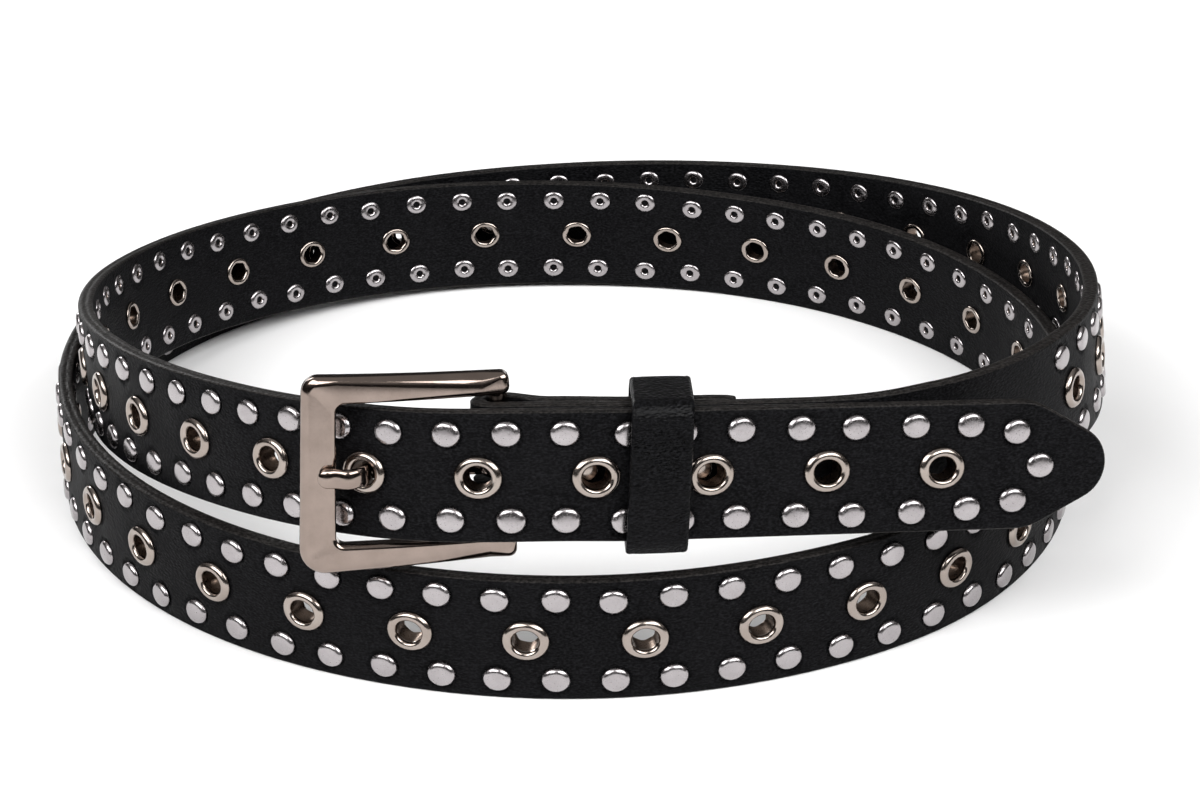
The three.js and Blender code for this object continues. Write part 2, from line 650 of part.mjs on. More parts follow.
const WINDOW_HALF = HALF_WIDTH + WINDOW_SLACK;
const FRAME_HALF = WINDOW_HALF + SIDE_BAR_WIDTH;
const FRAME_FRONT = BAR_SPACING + FRONT_BAR_WIDTH / 2;
const WINDOW_FRONT = BAR_SPACING - FRONT_BAR_WIDTH / 2;
const BOW_STEPS = 4;

// Points between the two ends of a side, so that it can bow.
function sideSteps(fromX, fromY, toX, toY) {
  const from = new THREE.Vector2(fromX, fromY);
  const to = new THREE.Vector2(toX, toY);
  return Array.from({ length: BOW_STEPS - 1 }, (_, i) => from.clone().lerp(to, (i + 1) / BOW_STEPS));
}

// The loop runs up the outer side of one side bar, round the front bar and down the other, and then
// back along the inner side with as many points, so that the two sides face each other in pairs.
function frameOutline() {
  const endY = BAR_END_RADIUS - HEEL_BAR_SETBACK;
  const outerY = FRAME_FRONT - FRAME_CORNER_RADIUS;
  const innerY = WINDOW_FRONT - WINDOW_CORNER_RADIUS;
  const heelX = FRAME_HALF - SIDE_BAR_TAPER;
  const outerX = heelX - BAR_END_RADIUS;
  const innerX = WINDOW_HALF + BAR_END_RADIUS;
  const cornerX = FRAME_HALF - FRAME_CORNER_RADIUS;
  const windowX = WINDOW_HALF - WINDOW_CORNER_RADIUS;
  const endSteps = 2;
  const cornerSteps = 4;
  return [
    ...arc(outerX, endY, BAR_END_RADIUS, -90, 0, endSteps),
    ...sideSteps(heelX, endY, FRAME_HALF, outerY),
    ...arc(cornerX, outerY, FRAME_CORNER_RADIUS, 0, 90, cornerSteps),
    ...arc(-cornerX, outerY, FRAME_CORNER_RADIUS, 90, 180, cornerSteps),
    ...sideSteps(-FRAME_HALF, outerY, -heelX, endY),
    ...arc(-outerX, endY, BAR_END_RADIUS, 180, 270, endSteps),
    ...arc(-innerX, endY, BAR_END_RADIUS, 270, 360, endSteps),
    ...sideSteps(-WINDOW_HALF, endY, -WINDOW_HALF, innerY),
    ...arc(-windowX, innerY, WINDOW_CORNER_RADIUS, 180, 90, cornerSteps),
    ...arc(windowX, innerY, WINDOW_CORNER_RADIUS, 90, 0, cornerSteps),
    ...sideSteps(WINDOW_HALF, innerY, WINDOW_HALF, endY),
    ...arc(innerX, endY, BAR_END_RADIUS, 180, 270, endSteps),
  ];
}

// The bevel's width on the outer or the inner side of the loop, this far from the heel bar.
function bevelAt(y, isOuter) {
  const atFront = isOuter ? OUTER_BEVEL : INNER_BEVEL;
  return THREE.MathUtils.mapLinear(y, -HEEL_BAR_SETBACK, FRAME_FRONT, HEEL_BEVEL, atFront);
}

// The outline moved into the metal by the bevel's width, corner by corner.
function bevelOutline(outline) {
  return outline.map((point, i) => {
    const before = outline[(i + outline.length - 1) % outline.length];
    const after = outline[(i + 1) % outline.length];
    const inA = new THREE.Vector2(before.y - point.y, point.x - before.x).normalize();
    const inB = new THREE.Vector2(point.y - after.y, after.x - point.x).normalize();
    const middle = inA.clone().add(inB).normalize();
    const reach = bevelAt(point.y, i < outline.length / 2) / middle.dot(inA);
    return point.clone().addScaledVector(middle, reach);
  });
}

// The frame bows outwards between its heel bar and its front edge.
function bowAt(y) {
  const share = THREE.MathUtils.clamp(y / FRAME_FRONT, 0, 1);
  return 4 * FRAME_BOW * share * (1 - share);
}

function makeFrame() {
  const outline = frameOutline();
  const raised = bevelOutline(outline);
  const half = FRAME_DEPTH / 2;
  const count = outline.length;
  const back = outline.map((p) => [p.x, p.y, bowAt(p.y) - half]);
  const shoulder = outline.map((p, i) => [p.x, p.y, bowAt(p.y) + half - bevelAt(p.y, i < count / 2)]);
  const front = raised.map((p) => [p.x, p.y, bowAt(p.y) + half]);
  const index = [];
  for (let i = 0; i < count; i += 1) {
    const j = (i + 1) % count;
    for (const low of [0, count]) {
      const high = low + count;
      index.push(low + i, low + j, high + j);
      index.push(low + i, high + j, high + i);
    }
  }
  for (let i = 0; i < count / 2 - 1; i += 1) {
    const [a, b, c, d] = [i, i + 1, count - 2 - i, count - 1 - i];
    index.push(c, b, a, d, c, a);
    index.push(2 * count + a, 2 * count + b, 2 * count + c);
    index.push(2 * count + a, 2 * count + c, 2 * count + d);
  }
  const geometry = new THREE.BufferGeometry();
  const positions = [...back, ...shoulder, ...front].flat();
  geometry.setAttribute('position', new THREE.Float32BufferAttribute(positions, 3));
  geometry.setIndex(index);

  const barLength = 2 * WINDOW_HALF + 0.8 * SIDE_BAR_WIDTH;
  const bar = new THREE.CylinderGeometry(HEEL_BAR_RADIUS, HEEL_BAR_RADIUS, barLength, 12);
  bar.rotateZ(Math.PI / 2);
  return toGeometry(toSolid(geometry).add(toSolid(bar)));
}

// Axes of the buckle: x across it and upwards, y from the heel bar to the front bar, z outwards.
const buckleMatrix = (() => {
  const heel = heelBarCentre(heelBarAlong);
  const forward = frontBarCentre(frontBarAlong).sub(heel).normalize();
  const across = heelFrame.U.clone();
  across.addScaledVector(forward, -across.dot(forward)).normalize();
  const out = new THREE.Vector3().crossVectors(across, forward);
  return new THREE.Matrix4().makeBasis(across, forward, out).setPosition(heel);
})();

function toBuckle(point) {
  return point.clone().applyMatrix4(buckleMatrix.clone().invert());
}

// Prong: an eye round the heel bar and a flat oval shank, drawn in the buckle's axes

const PRONG_SIDES = 10;

// A closed tube along a line in the plane across the buckle, flat and oval, with a round tip.
function flatTube(line, steps) {
  const length = line.getLength();
  const positions = [];
  const index = [];
  const tipReach = PRONG_WIDTH / 2;
  const places = Array.from({ length: steps + 1 }, (_, i) => ((length - tipReach) * i) / steps);
  const tipAngles = [30, 56, 78].map(THREE.MathUtils.degToRad);
  const stations = places.map((place) => ({ place, size: 1 }));
  for (const angle of tipAngles) {
    stations.push({ place: length - tipReach + tipReach * Math.sin(angle), size: Math.cos(angle) });
  }
  for (const { place, size } of stations) {
    const centre = line.getPointAt(place / length);
    const forward = line.getTangentAt(place / length);
    const thick = new THREE.Vector3(0, -forward.z, forward.y);
    for (let k = 0; k < PRONG_SIDES; k += 1) {
      const angle = (2 * Math.PI * k) / PRONG_SIDES;
      const x = (PRONG_WIDTH / 2) * size * Math.cos(angle);
      const lift = (PRONG_THICKNESS / 2) * size * Math.sin(angle);
      positions.push(x, centre.y + thick.y * lift, centre.z + thick.z * lift);
    }
  }
  for (let i = 0; i < stations.length - 1; i += 1) {
    for (let k = 0; k < PRONG_SIDES; k += 1) {
      const a = i * PRONG_SIDES + k;
      const b = i * PRONG_SIDES + ((k + 1) % PRONG_SIDES);
      index.push(a, a + PRONG_SIDES, b + PRONG_SIDES, a, b + PRONG_SIDES, b);
    }
  }
  const last = (stations.length - 1) * PRONG_SIDES;
  for (let k = 1; k < PRONG_SIDES - 1; k += 1) {
    index.push(0, k, k + 1, last, last + k + 1, last + k);
  }
  const geometry = new THREE.BufferGeometry();
  geometry.setAttribute('position', new THREE.Float32BufferAttribute(positions, 3));
  geometry.setIndex(index);
  return geometry;
}

function prongLine() {
  const { P, N } = frameAt(firstTurn, prongEyeletAlong);
  const eyelet = toBuckle(P);
  const eyeletTip = toBuckle(P.clone().add(N));
  const axisAngle = Math.atan2(eyeletTip.z - eyelet.z, eyeletTip.y - eyelet.y);
  const climb = axisAngle - THREE.MathUtils.degToRad(PRONG_SLANT);
  const reach = (distance) => [eyelet.y + distance * Math.cos(climb), eyelet.z + distance * Math.sin(climb)];
  const overBar = (y) => bowAt(y) + FRAME_DEPTH / 2 + CLEARANCE + PRONG_THICKNESS / 2;
  const below = reach(-PRONG_CRANK);
  const end = BAR_SPACING + PRONG_OVERHANG;
  const points = [
    [PRONG_EYE_RADIUS, 0],
    [(PRONG_EYE_RADIUS + eyelet.y - PRONG_DIP_TO_EYELET) / 2, (below[1] - CLEARANCE) / 2],
    [eyelet.y - PRONG_DIP_TO_EYELET, below[1] - CLEARANCE],
    below,
    reach(0),
    reach(PRONG_CRANK),
    [WINDOW_FRONT - CLEARANCE, overBar(WINDOW_FRONT)],
    [end, overBar(end)],
  ];
  return new THREE.CatmullRomCurve3(points.map(([y, z]) => new THREE.Vector3(0, y, z)), false, 'centripetal');
}

function makeProng() {
  const eye = new THREE.TorusGeometry(PRONG_EYE_RADIUS, PRONG_THICKNESS / 2, PRONG_SIDES, 12);
  eye.scale(1, 1, PRONG_WIDTH / PRONG_THICKNESS);
  eye.rotateY(Math.PI / 2);
  const shank = flatTube(prongLine(), 12);
  return toGeometry(toSolid(eye).add(toSolid(shank)));
}

// Keeper: a loop with rounded corners round the tip strap, the buckle strap and the tail

function loopOutline(left, right, bottom, top, radius) {
  const steps = 3;
  return [
    ...arc(right - radius, bottom + radius, radius, -90, 0, steps),
    ...arc(right - radius, top - radius, radius, 0, 90, steps),
    ...arc(left + radius, top - radius, radius, 90, 180, steps),
    ...arc(left + radius, bottom + radius, radius, 180, 270, steps),
  ];
}

// Axes of a place on the tip strap: x up across it, y along it towards the buckle, z outwards.
function placeOnTipStrap(back) {
  const { P, T, U, N } = frameAt(firstTurn, heelBarAlong - back);
  return new THREE.Matrix4().makeBasis(U, T, N).setPosition(P);
}

function makeKeeper() {
  const high = HALF_WIDTH + KEEPER_ROOM;
  const front = HALF_THICKNESS + STUD_HEIGHT + KEEPER_ROOM;
  const back = -LAYER_STEP - TAIL_STEP - HALF_THICKNESS - KEEPER_ROOM;
  const inner = loopOutline(-high, high, back, front, KEEPER_INNER_RADIUS);
  const outer = loopOutline(
    -high - KEEPER_WALL, high + KEEPER_WALL, back - KEEPER_WALL, front + KEEPER_WALL, KEEPER_CORNER_RADIUS,
  );
  const shape = new THREE.Shape(outer);
  shape.holes.push(new THREE.Path(inner));
  const loop = new THREE.ExtrudeGeometry(shape, { depth: KEEPER_WIDTH, bevelEnabled: false, steps: 1 });
  loop.translate(0, 0, -KEEPER_WIDTH / 2);
  loop.rotateX(Math.PI / 2);
  return loop;
}

function makeFoldRivet() {
  const front = -LAYER_STEP + HALF_THICKNESS + CLEARANCE;
  const back = -LAYER_STEP - TAIL_STEP - HALF_THICKNESS - CLEARANCE;
  const profile = [
    [0, back - FOLD_RIVET_HEAD],
    [0.6 * FOLD_RIVET_HEAD_RADIUS, back - 0.8 * FOLD_RIVET_HEAD],
    [FOLD_RIVET_HEAD_RADIUS, back],
    [FOLD_RIVET_RADIUS, back],
    [FOLD_RIVET_RADIUS, front],
    [FOLD_RIVET_HEAD_RADIUS, front],
    [0.6 * FOLD_RIVET_HEAD_RADIUS, front + 0.8 * FOLD_RIVET_HEAD],
    [0, front + FOLD_RIVET_HEAD],
  ];
  const rivet = new THREE.LatheGeometry(profile.map(([r, h]) => new THREE.Vector2(r, h)), 12);
  rivet.rotateX(Math.PI / 2);
  return toGeometry(toSolid(rivet));
}

const group = new THREE.Group();

function addPiece(name, geometry, look, matrix) {
  if (matrix) geometry.applyMatrix4(matrix);
  geometry.computeVertexNormals();
  const piece = new THREE.Mesh(geometry, new THREE.MeshStandardMaterial(look));
  piece.name = name;
  group.add(piece);
}

addPiece('strap', makeStrap(), leather);
addPiece('buckle_frame', makeFrame(), nickel, buckleMatrix);
addPiece('prong', makeProng(), nickel, buckleMatrix);
addPiece('keeper', makeKeeper(), leather, placeOnTipStrap(KEEPER_TO_HEEL_BAR));
addPiece('fold_rivet_1', makeFoldRivet(), nickel, placeOnTipStrap(RIVET_BACKS[0]));
addPiece('fold_rivet_2', makeFoldRivet(), nickel, placeOnTipStrap(RIVET_BACKS[1]));

// The origin is under the middle of the whole belt.
const bounds = new THREE.Box3().setFromObject(group);
const middle = bounds.getCenter(new THREE.Vector3());
for (const piece of group.children) piece.geometry.translate(-middle.x, -middle.y, -bounds.min.z);

export default group;
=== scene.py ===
# A studded leather belt, buckled and lying in two turns.
#
# The strap is drawn flat in millimetres, and then bent along its route: "along" runs from the nose
# to the tail of the fold, "across" from the lower to the upper edge, and "out" from the middle of
# the leather to its outer face. At the end everything is turned into the frame's metres.
from math import acos, atan2, ceil, cos, hypot, pi, radians, sin

import bpy
import numpy as np
from mathutils import Matrix, Vector
from mathutils.geometry import delaunay_2d_cdt


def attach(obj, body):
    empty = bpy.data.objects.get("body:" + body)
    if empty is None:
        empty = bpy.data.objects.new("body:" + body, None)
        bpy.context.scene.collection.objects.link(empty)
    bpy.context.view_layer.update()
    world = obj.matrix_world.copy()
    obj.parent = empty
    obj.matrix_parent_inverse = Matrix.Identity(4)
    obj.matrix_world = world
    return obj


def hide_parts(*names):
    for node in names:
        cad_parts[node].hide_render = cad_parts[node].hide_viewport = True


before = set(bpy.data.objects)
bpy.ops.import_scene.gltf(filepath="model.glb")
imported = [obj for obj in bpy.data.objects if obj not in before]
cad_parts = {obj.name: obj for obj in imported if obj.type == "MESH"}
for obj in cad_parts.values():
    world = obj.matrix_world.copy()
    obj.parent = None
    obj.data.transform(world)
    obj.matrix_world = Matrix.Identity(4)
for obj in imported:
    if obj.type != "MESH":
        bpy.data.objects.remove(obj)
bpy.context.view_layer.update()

# Strap
STRAP_WIDTH = 22
STRAP_THICKNESS = 2.9
HALF_WIDTH = STRAP_WIDTH / 2
HALF_THICKNESS = STRAP_THICKNESS / 2
TIP_LENGTH = 13.2  # from the nose back to the full width
NOSE_RADIUS = 6.5
SHOULDER_ROUNDING = 2.5  # on each side of the corner between the tip and the straight edge
PLAIN_LENGTH = 105  # at least this much without studs before the heel bar
TAIL_PAST_RIVET = 5.8
TAIL_SKIVE = 0.4  # thickness left at the tail's end, as a share of the strap's
TAIL_SKIVE_LENGTH = 5
EDGE_ROUND = 0.55
EDGE_THINNING = 0.1  # of each face, beside the rounded edge
UNEVENNESS = 0.035

# Studs and eyelets
PITCH = 19.5  # from eyelet to eyelet
TIP_TO_EYELET = 28.9
EYELET_SLIPS = [0.3, 0.8, 1.2, 0.8]  # of the first ones, away from the nose
LEATHER_HOLE = 2.5  # radius, under each eyelet's rim
EYELET_SPLIT = 0.03  # of its back rim, as a share of the radius
STUD_HEIGHT = 1
STUD_ROW = HALF_WIDTH - 3.7  # from the middle of the strap
STUDS_FROM_EYELET = PITCH / 4
TIP_STUDS = [(11.8, 0), (16.3, STUD_ROW - 1.4), (16.3, 1.4 - STUD_ROW)]  # along and across
STUD_SCATTER = 0.16
STUD_TILT = 0.025
STUD_SINK = 0.06
METAL_HEIGHT = 0.89  # of a stud or eyelet across the strap, as a share of its length along the strap

# Buckle: its heel bar runs through the strap's fold
FRAME_LENGTH = 35.4
FRAME_DEPTH = 3.4
WINDOW_SLACK = 0.9  # between the strap's edge and each side bar
FRONT_BAR_WIDTH = 6
SIDE_BAR_WIDTH = 4.6  # at the front bar
SIDE_BAR_TAPER = 0.9  # off its outer edge, towards the heel bar
FRAME_CORNER_RADIUS = 4.2
UPPER_CORNER_RADIUS = 2.8
WINDOW_CORNER_RADIUS = 1.5
BAR_END_RADIUS = 1.4
FRONT_BEVEL = 1.7
CORNER_BEVEL = 0.9
HEEL_BEVEL = 2.1
BAR_END_BEVEL = 0.9
BEVEL_DEPTH = 0.8  # of the bevels, as a share of their width
INNER_BEVEL = 0.6
BACK_ROUND = 0.35
FRAME_BOW = 0.8
FRONT_BAR_SKEW = 0.067  # how far the front bar's upper end is set back, as a share of its height
SKEW_CENTRE = 9  # below the middle of the front bar
HEEL_BAR_RADIUS = 1.5
HEEL_BAR_SETBACK = 1.9  # from the ends of the side bars
HEEL_BAR_HOLD = 0.4  # of each end, as a share of the side bar's width
HEEL_BAR_SIDES = 28
WINDOW_HALF = HALF_WIDTH + WINDOW_SLACK
FRAME_HALF = WINDOW_HALF + SIDE_BAR_WIDTH
FRAME_FRONT = FRAME_LENGTH - HEEL_BAR_SETBACK  # this and what follows are measured from the heel bar
WINDOW_FRONT = FRAME_FRONT - FRONT_BAR_WIDTH
BAR_SPACING = FRAME_FRONT - FRONT_BAR_WIDTH / 2

# Prong
CLEARANCE = 0.3  # between pieces that touch
PRONG_EYELET = 5  # the eyelet that it goes through, counted from 0 at the tip
PRONG_ALONG = TIP_TO_EYELET + PRONG_EYELET * PITCH
EYELET_TO_FRONT_BAR = 6.4
PRONG_WIDTH = 3.3
PRONG_THICKNESS = 1.8
PRONG_SQUARENESS = 0.72  # power that makes its oval section fuller
PRONG_SIDES = 22
CURVE_STEPS = 24  # between two points of its middle line
PRONG_STEPS = 60
EYE_STEPS = 40
SLOPE_STEP = 0.2  # on each side of a place, to find its direction
PRONG_SLANT = 30  # degrees between it and the eyelet's own axis
PRONG_CRANK = 3  # from the eyelet's middle to the end of its slanted part
PRONG_DIP_TO_EYELET = 6  # from its lowest point, behind the tip strap
PRONG_OVERHANG = -0.5  # of its end past the middle of the front bar
PRONG_RISE = [(-0.9, 2.3), (-1.2, 4.3), (-0.2, 6.3)]  # along and out from the eyelet's middle
PRONG_EYE_RADIUS = HEEL_BAR_RADIUS + CLEARANCE + PRONG_THICKNESS / 2
SLOT_HALF_WIDTH = 2.2
SLOT_MARGIN = 4.5  # past the fold, at each end

# Keeper and fold rivets
KEEPER_WIDTH = 10.5
KEEPER_WALL = 1.4
KEEPER_ROOM = 0.45  # inside it, round the straps
KEEPER_CORNER_RADIUS = 2.6
KEEPER_INNER_RADIUS = 0.5
KEEPER_TO_HEEL_BAR = 26
KEEPER_SKEW = 3.8  # how far its back is moved towards the nose
KEEPER_BULGE = 0.45
KEEPER_RISE = 1.2  # of its back's upper end
KEEPER_SLACK = 1.5  # behind the tail
FOLD_RIVET_RADIUS = 1.4
FOLD_RIVET_HEAD_RADIUS = 2.6
FOLD_RIVET_HEAD = 0.6
RIVET_REACH = KEEPER_WIDTH / 2 + FOLD_RIVET_HEAD_RADIUS + CLEARANCE
RIVET_BACKS = [14.5, KEEPER_TO_HEEL_BAR + RIVET_REACH]  # from the heel bar
RIVET_SIDES = 28

# Layers
RING_RADIUS = 94
FREE_END_LENGTH = 80.6  # from the nose to where the tip strap leaves the ring
STUD_ROOM = 1.7  # between the studs and the middle of the front bar's back
LAYER_STEP = STRAP_THICKNESS + FOLD_RIVET_HEAD + 2 * CLEARANCE
TAIL_STEP = STRAP_THICKNESS + CLEARANCE
FOLD_RADIUS = HEEL_BAR_RADIUS + CLEARANCE + HALF_THICKNESS
FRONT_BAR_LIFT = HALF_THICKNESS + STUD_HEIGHT + STUD_ROOM + FRAME_DEPTH / 2

# Route of the middle of the leather, seen from above and clockwise from the front. Its columns are
# the share of a full turn, the distance from the middle as a share of the ring's radius, the height
# of the lower edge as a share of the strap's width, and the degrees that it leans out at the top.
ROUTE = np.array([
    (-0.02, 0.94, 1.31, -9),
    (0, 0.954, 1.36, -9),
    (0.05, 0.96, 1.31, -10),
    (0.085, 0.937, 1.21, -8),
    (0.125, 0.92, 1.09, -5),
    (0.1875, 0.925, 0.88, -1),
    (0.25, 0.957, 0.62, 3),
    (0.3125, 0.992, 0.36, 7),
    (0.375, 1.015, 0.16, 9),
    (0.4375, 1.01, 0.05, 9),
    (0.5, 0.974, 0.02, 5),
    (0.5625, 0.962, 0, 0),
    (0.625, 0.96, 0, 0),
    (0.6875, 0.96, 0, 0),
    (0.75, 0.962, 0, 1),
    (0.8125, 0.967, 0, 2),
    (0.875, 0.968, 0, 1),
    (0.9375, 0.954, 0, 0),
    (1, 0.948, 0, 0),
    (1.0625, 0.945, 0, 0),
    (1.125, 0.957, 0, 0),
    (1.1875, 0.98, 0, 0),
    (1.25, 1.012, 0, 0),
    (1.3125, 1.049, 0, 0),
    (1.375, 1.073, 0, 2),
    (1.4375, 1.079, 0.01, 4),
    (1.5, 1.075, 0.05, 5),
    (1.5625, 1.065, 0.15, 6),
    (1.625, 1.048, 0.33, 2),
    (1.6875, 1.022, 0.56, -1),
    (1.75, 1.013, 0.77, -4),
    (1.8125, 1.008, 0.96, -5),
    (1.875, 0.973, 1.07, -5),
    (1.93, 0.925, 1.2, -7),
])
REACH, RISE, LEAN = 1, 2, 3
FREE_END_TURN = ROUTE[0, 0]
JOIN_START_TURN = 1.885  # from here the buckle strap swings in behind the free end
JOIN_END_TURN = 1.945
ORIGIN = np.array([0.1045, 4.8449, 0])  # the frame's origin, from the middle of the ring

SAMPLE_STEP = 0.5
HALVINGS = 40
TURN_STEP = SAMPLE_STEP / (2 * pi * RING_RADIUS)
METRES = 0.001
UP = np.array([0, 0, 1.0])

rng = np.random.default_rng(11)

# Camera: where the photo was taken from, in metres and degrees
IMAGE_WIDTH = 1200
SENSOR_WIDTH = 36
FOCAL_PIXELS = 3611.4
CAMERA_PLACE = (0.00417, -0.62179, 0.2910)
CAMERA_TILT = 24.19  # below the horizon
CAMERA_ROLL = 1.0
NEAREST_SEEN = 0.01
FLOOR_RADIUS = 4


def new_object(name, data):
    thing = bpy.data.objects.new(name, data)
    bpy.context.collection.objects.link(thing)
    return thing


def make_camera():
    data = bpy.data.cameras.new("camera")
    data.sensor_width = SENSOR_WIDTH
    data.sensor_fit = "HORIZONTAL"
    data.lens = FOCAL_PIXELS / IMAGE_WIDTH * SENSOR_WIDTH
    data.clip_start = NEAREST_SEEN
    camera = new_object("camera", data)
    tilt = radians(CAMERA_TILT)
    roll = radians(CAMERA_ROLL)
    forward = Vector((0, cos(tilt), -sin(tilt)))
    level = Vector((1, 0, 0))
    above = level.cross(forward)
    right = level * cos(roll) - above * sin(roll)
    up = above * cos(roll) + level * sin(roll)
    axes = Matrix((right, up, -forward)).transposed().to_4x4()
    camera.matrix_world = Matrix.Translation(CAMERA_PLACE) @ axes
    bpy.context.scene.camera = camera


make_camera()


# Route of the strap

def unit(vectors):
    return vectors / np.linalg.norm(vectors, axis=-1, keepdims=True)


def smoothstep(low, high, value):
    t = np.clip((value - low) / (high - low), 0, 1)
    return t * t * (3 - 2 * t)


def hermite(t, start, end, start_slope, end_slope):
    """A smooth curve between two values or points, for t from 0 to 1."""
    curve = (2 * t**3 - 3 * t**2 + 1) * start + (3 * t**2 - 2 * t**3) * end
    return curve + (t**3 - 2 * t**2 + t) * start_slope + (t**3 - t**2) * end_slope


def route_column(column, turn):
    """A smooth curve through one column of the route table, straight on past its ends."""
    turns, values = ROUTE[:, 0], ROUTE[:, column]
    spans = np.diff(turns)
    slopes = np.diff(values) / spans
    inner = (slopes[:-1] * spans[1:] + slopes[1:] * spans[:-1]) / (spans[:-1] + spans[1:])
    tangents = np.concatenate([slopes[:1], inner, slopes[-1:]])
    i = np.clip(np.searchsorted(turns, turn, side="right") - 1, 0, len(spans) - 1)
    slopes_here = spans[i] * tangents[i], spans[i] * tangents[i + 1]
    curve = hermite((turn - turns[i]) / spans[i], values[i], values[i + 1], *slopes_here)
    before = values[0] + tangents[0] * (turn - turns[0])
    after = values[-1] + tangents[-1] * (turn - turns[-1])
    return np.where(turn <= turns[0], before, np.where(turn >= turns[-1], after, curve))


def ring_point(turn):
    reach = route_column(REACH, turn) * RING_RADIUS
    lean = np.radians(route_column(LEAN, turn))
    angle = 2 * pi * turn
    lowest_corner = HALF_WIDTH * np.cos(lean) + HALF_THICKNESS * np.abs(np.sin(lean))
    height = np.maximum(0, route_column(RISE, turn)) * STRAP_WIDTH + lowest_corner
    return np.stack([-reach * np.sin(angle), -reach * np.cos(angle), height], -1)


def strap_axes(point_at, turn, lean_degrees):
    """T along the strap, U across it and upwards, N out of its outer face."""
    lean = np.radians(lean_degrees)[:, None]
    T = unit(point_at(turn + TURN_STEP) - point_at(turn - TURN_STEP))
    level = unit(np.stack([-T[:, 1], T[:, 0], 0 * T[:, 0]], -1))
    U = UP * np.cos(lean) + level * np.sin(lean)
    U = unit(U - T * np.sum(U * T, 1, keepdims=True))
    return {"P": point_at(turn), "T": T, "U": U, "N": np.cross(U, T)}


def ring_axes(turn):
    return strap_axes(ring_point, turn, route_column(LEAN, turn))


leaving = {key: value[0] for key, value in ring_axes(np.array([FREE_END_TURN + TURN_STEP])).items()}


def tip_strap_axes(turn):
    """The tip strap in the direction of these turns: straight before FREE_END_TURN."""
    ring = ring_axes(turn)
    x, y = -np.sin(2 * pi * turn), -np.cos(2 * pi * turn)
    P, T = leaving["P"], leaving["T"]
    distance = (P[0] * y - P[1] * x) / (T[0] * y - T[1] * x)
    straight = {"P": P - distance[:, None] * T, "N": np.broadcast_to(leaving["N"], ring["N"].shape)}
    on_ring = (turn >= FREE_END_TURN)[:, None]
    return {key: np.where(on_ring, ring[key], straight[key]) for key in ("P", "N")}


def layer_point(turn):
    """The second turn follows the table, and ends right behind the tip strap."""
    share = smoothstep(JOIN_START_TURN, JOIN_END_TURN, turn)[:, None]
    tip = tip_strap_axes(turn - 2)
    behind = tip["P"] - LAYER_STEP * tip["N"]
    ring = ring_point(turn)
    return np.where(share > 0, ring * (1 - share) + behind * share, ring)


def layer_axes(turn):
    share = smoothstep(JOIN_START_TURN, JOIN_END_TURN, turn)
    behind = route_column(LEAN, np.maximum(turn - 2, FREE_END_TURN))
    return strap_axes(layer_point, turn, (1 - share) * route_column(LEAN, turn) + share * behind)


def lengths_along(line):
    steps = np.linalg.norm(np.diff(line, axis=0), axis=1)
    return np.concatenate([[0], np.cumsum(steps)])


def with_lengths(samples):
    return {**samples, "along": lengths_along(samples["P"])}


def trace_turns(last_turn):
    """The straight free end and the turns, as samples of the strap's axes."""
    steps = ceil(FREE_END_LENGTH / SAMPLE_STEP)
    distance = FREE_END_LENGTH * (1 - np.arange(steps) / steps)
    turns = np.append(np.arange(FREE_END_TURN, last_turn, TURN_STEP), last_turn)
    axes = layer_axes(turns)
    samples = {"turn": np.concatenate([np.full(steps, FREE_END_TURN), turns])}
    samples["P"] = np.concatenate([leaving["P"] - distance[:, None] * leaving["T"], axes["P"]])
    for key in "TUN":
        samples[key] = np.concatenate([np.tile(leaving[key], (steps, 1)), axes[key]])
    return with_lengths(samples)


def axes_at(samples, along):
    """The strap's axes at one or many distances from the nose."""
    mixed = {}
    for key in "PTUN":
        columns = [np.interp(along, samples["along"], samples[key][:, i]) for i in range(3)]
        mixed[key] = np.stack(columns, -1)
        if key != "P":
            mixed[key] = unit(mixed[key])
    return mixed


first_turn = trace_turns(0.5)  # half a turn reaches well past the buckle
front_bar_along = PRONG_ALONG + EYELET_TO_FRONT_BAR
at_bar = axes_at(first_turn, front_bar_along)
front_bar = at_bar["P"] + at_bar["N"] * FRONT_BAR_LIFT


def heel_bar_centre(along):
    axes = axes_at(first_turn, along)
    return axes["P"] - axes["N"] * (LAYER_STEP + FOLD_RADIUS)


def find_heel_bar_along():
    """Where on the strap the heel bar lies, at its true distance from the front bar."""
    low, high = front_bar_along - 1.5 * BAR_SPACING, front_bar_along
    for _ in range(HALVINGS):
        middle = (low + high) / 2
        if np.linalg.norm(heel_bar_centre(middle) - front_bar) > BAR_SPACING:
            low = middle
        else:
            high = middle
    return (low + high) / 2


heel_along = find_heel_bar_along()
heel = axes_at(first_turn, heel_along)
heel_turn = float(np.interp(heel_along, first_turn["along"], first_turn["turn"]))


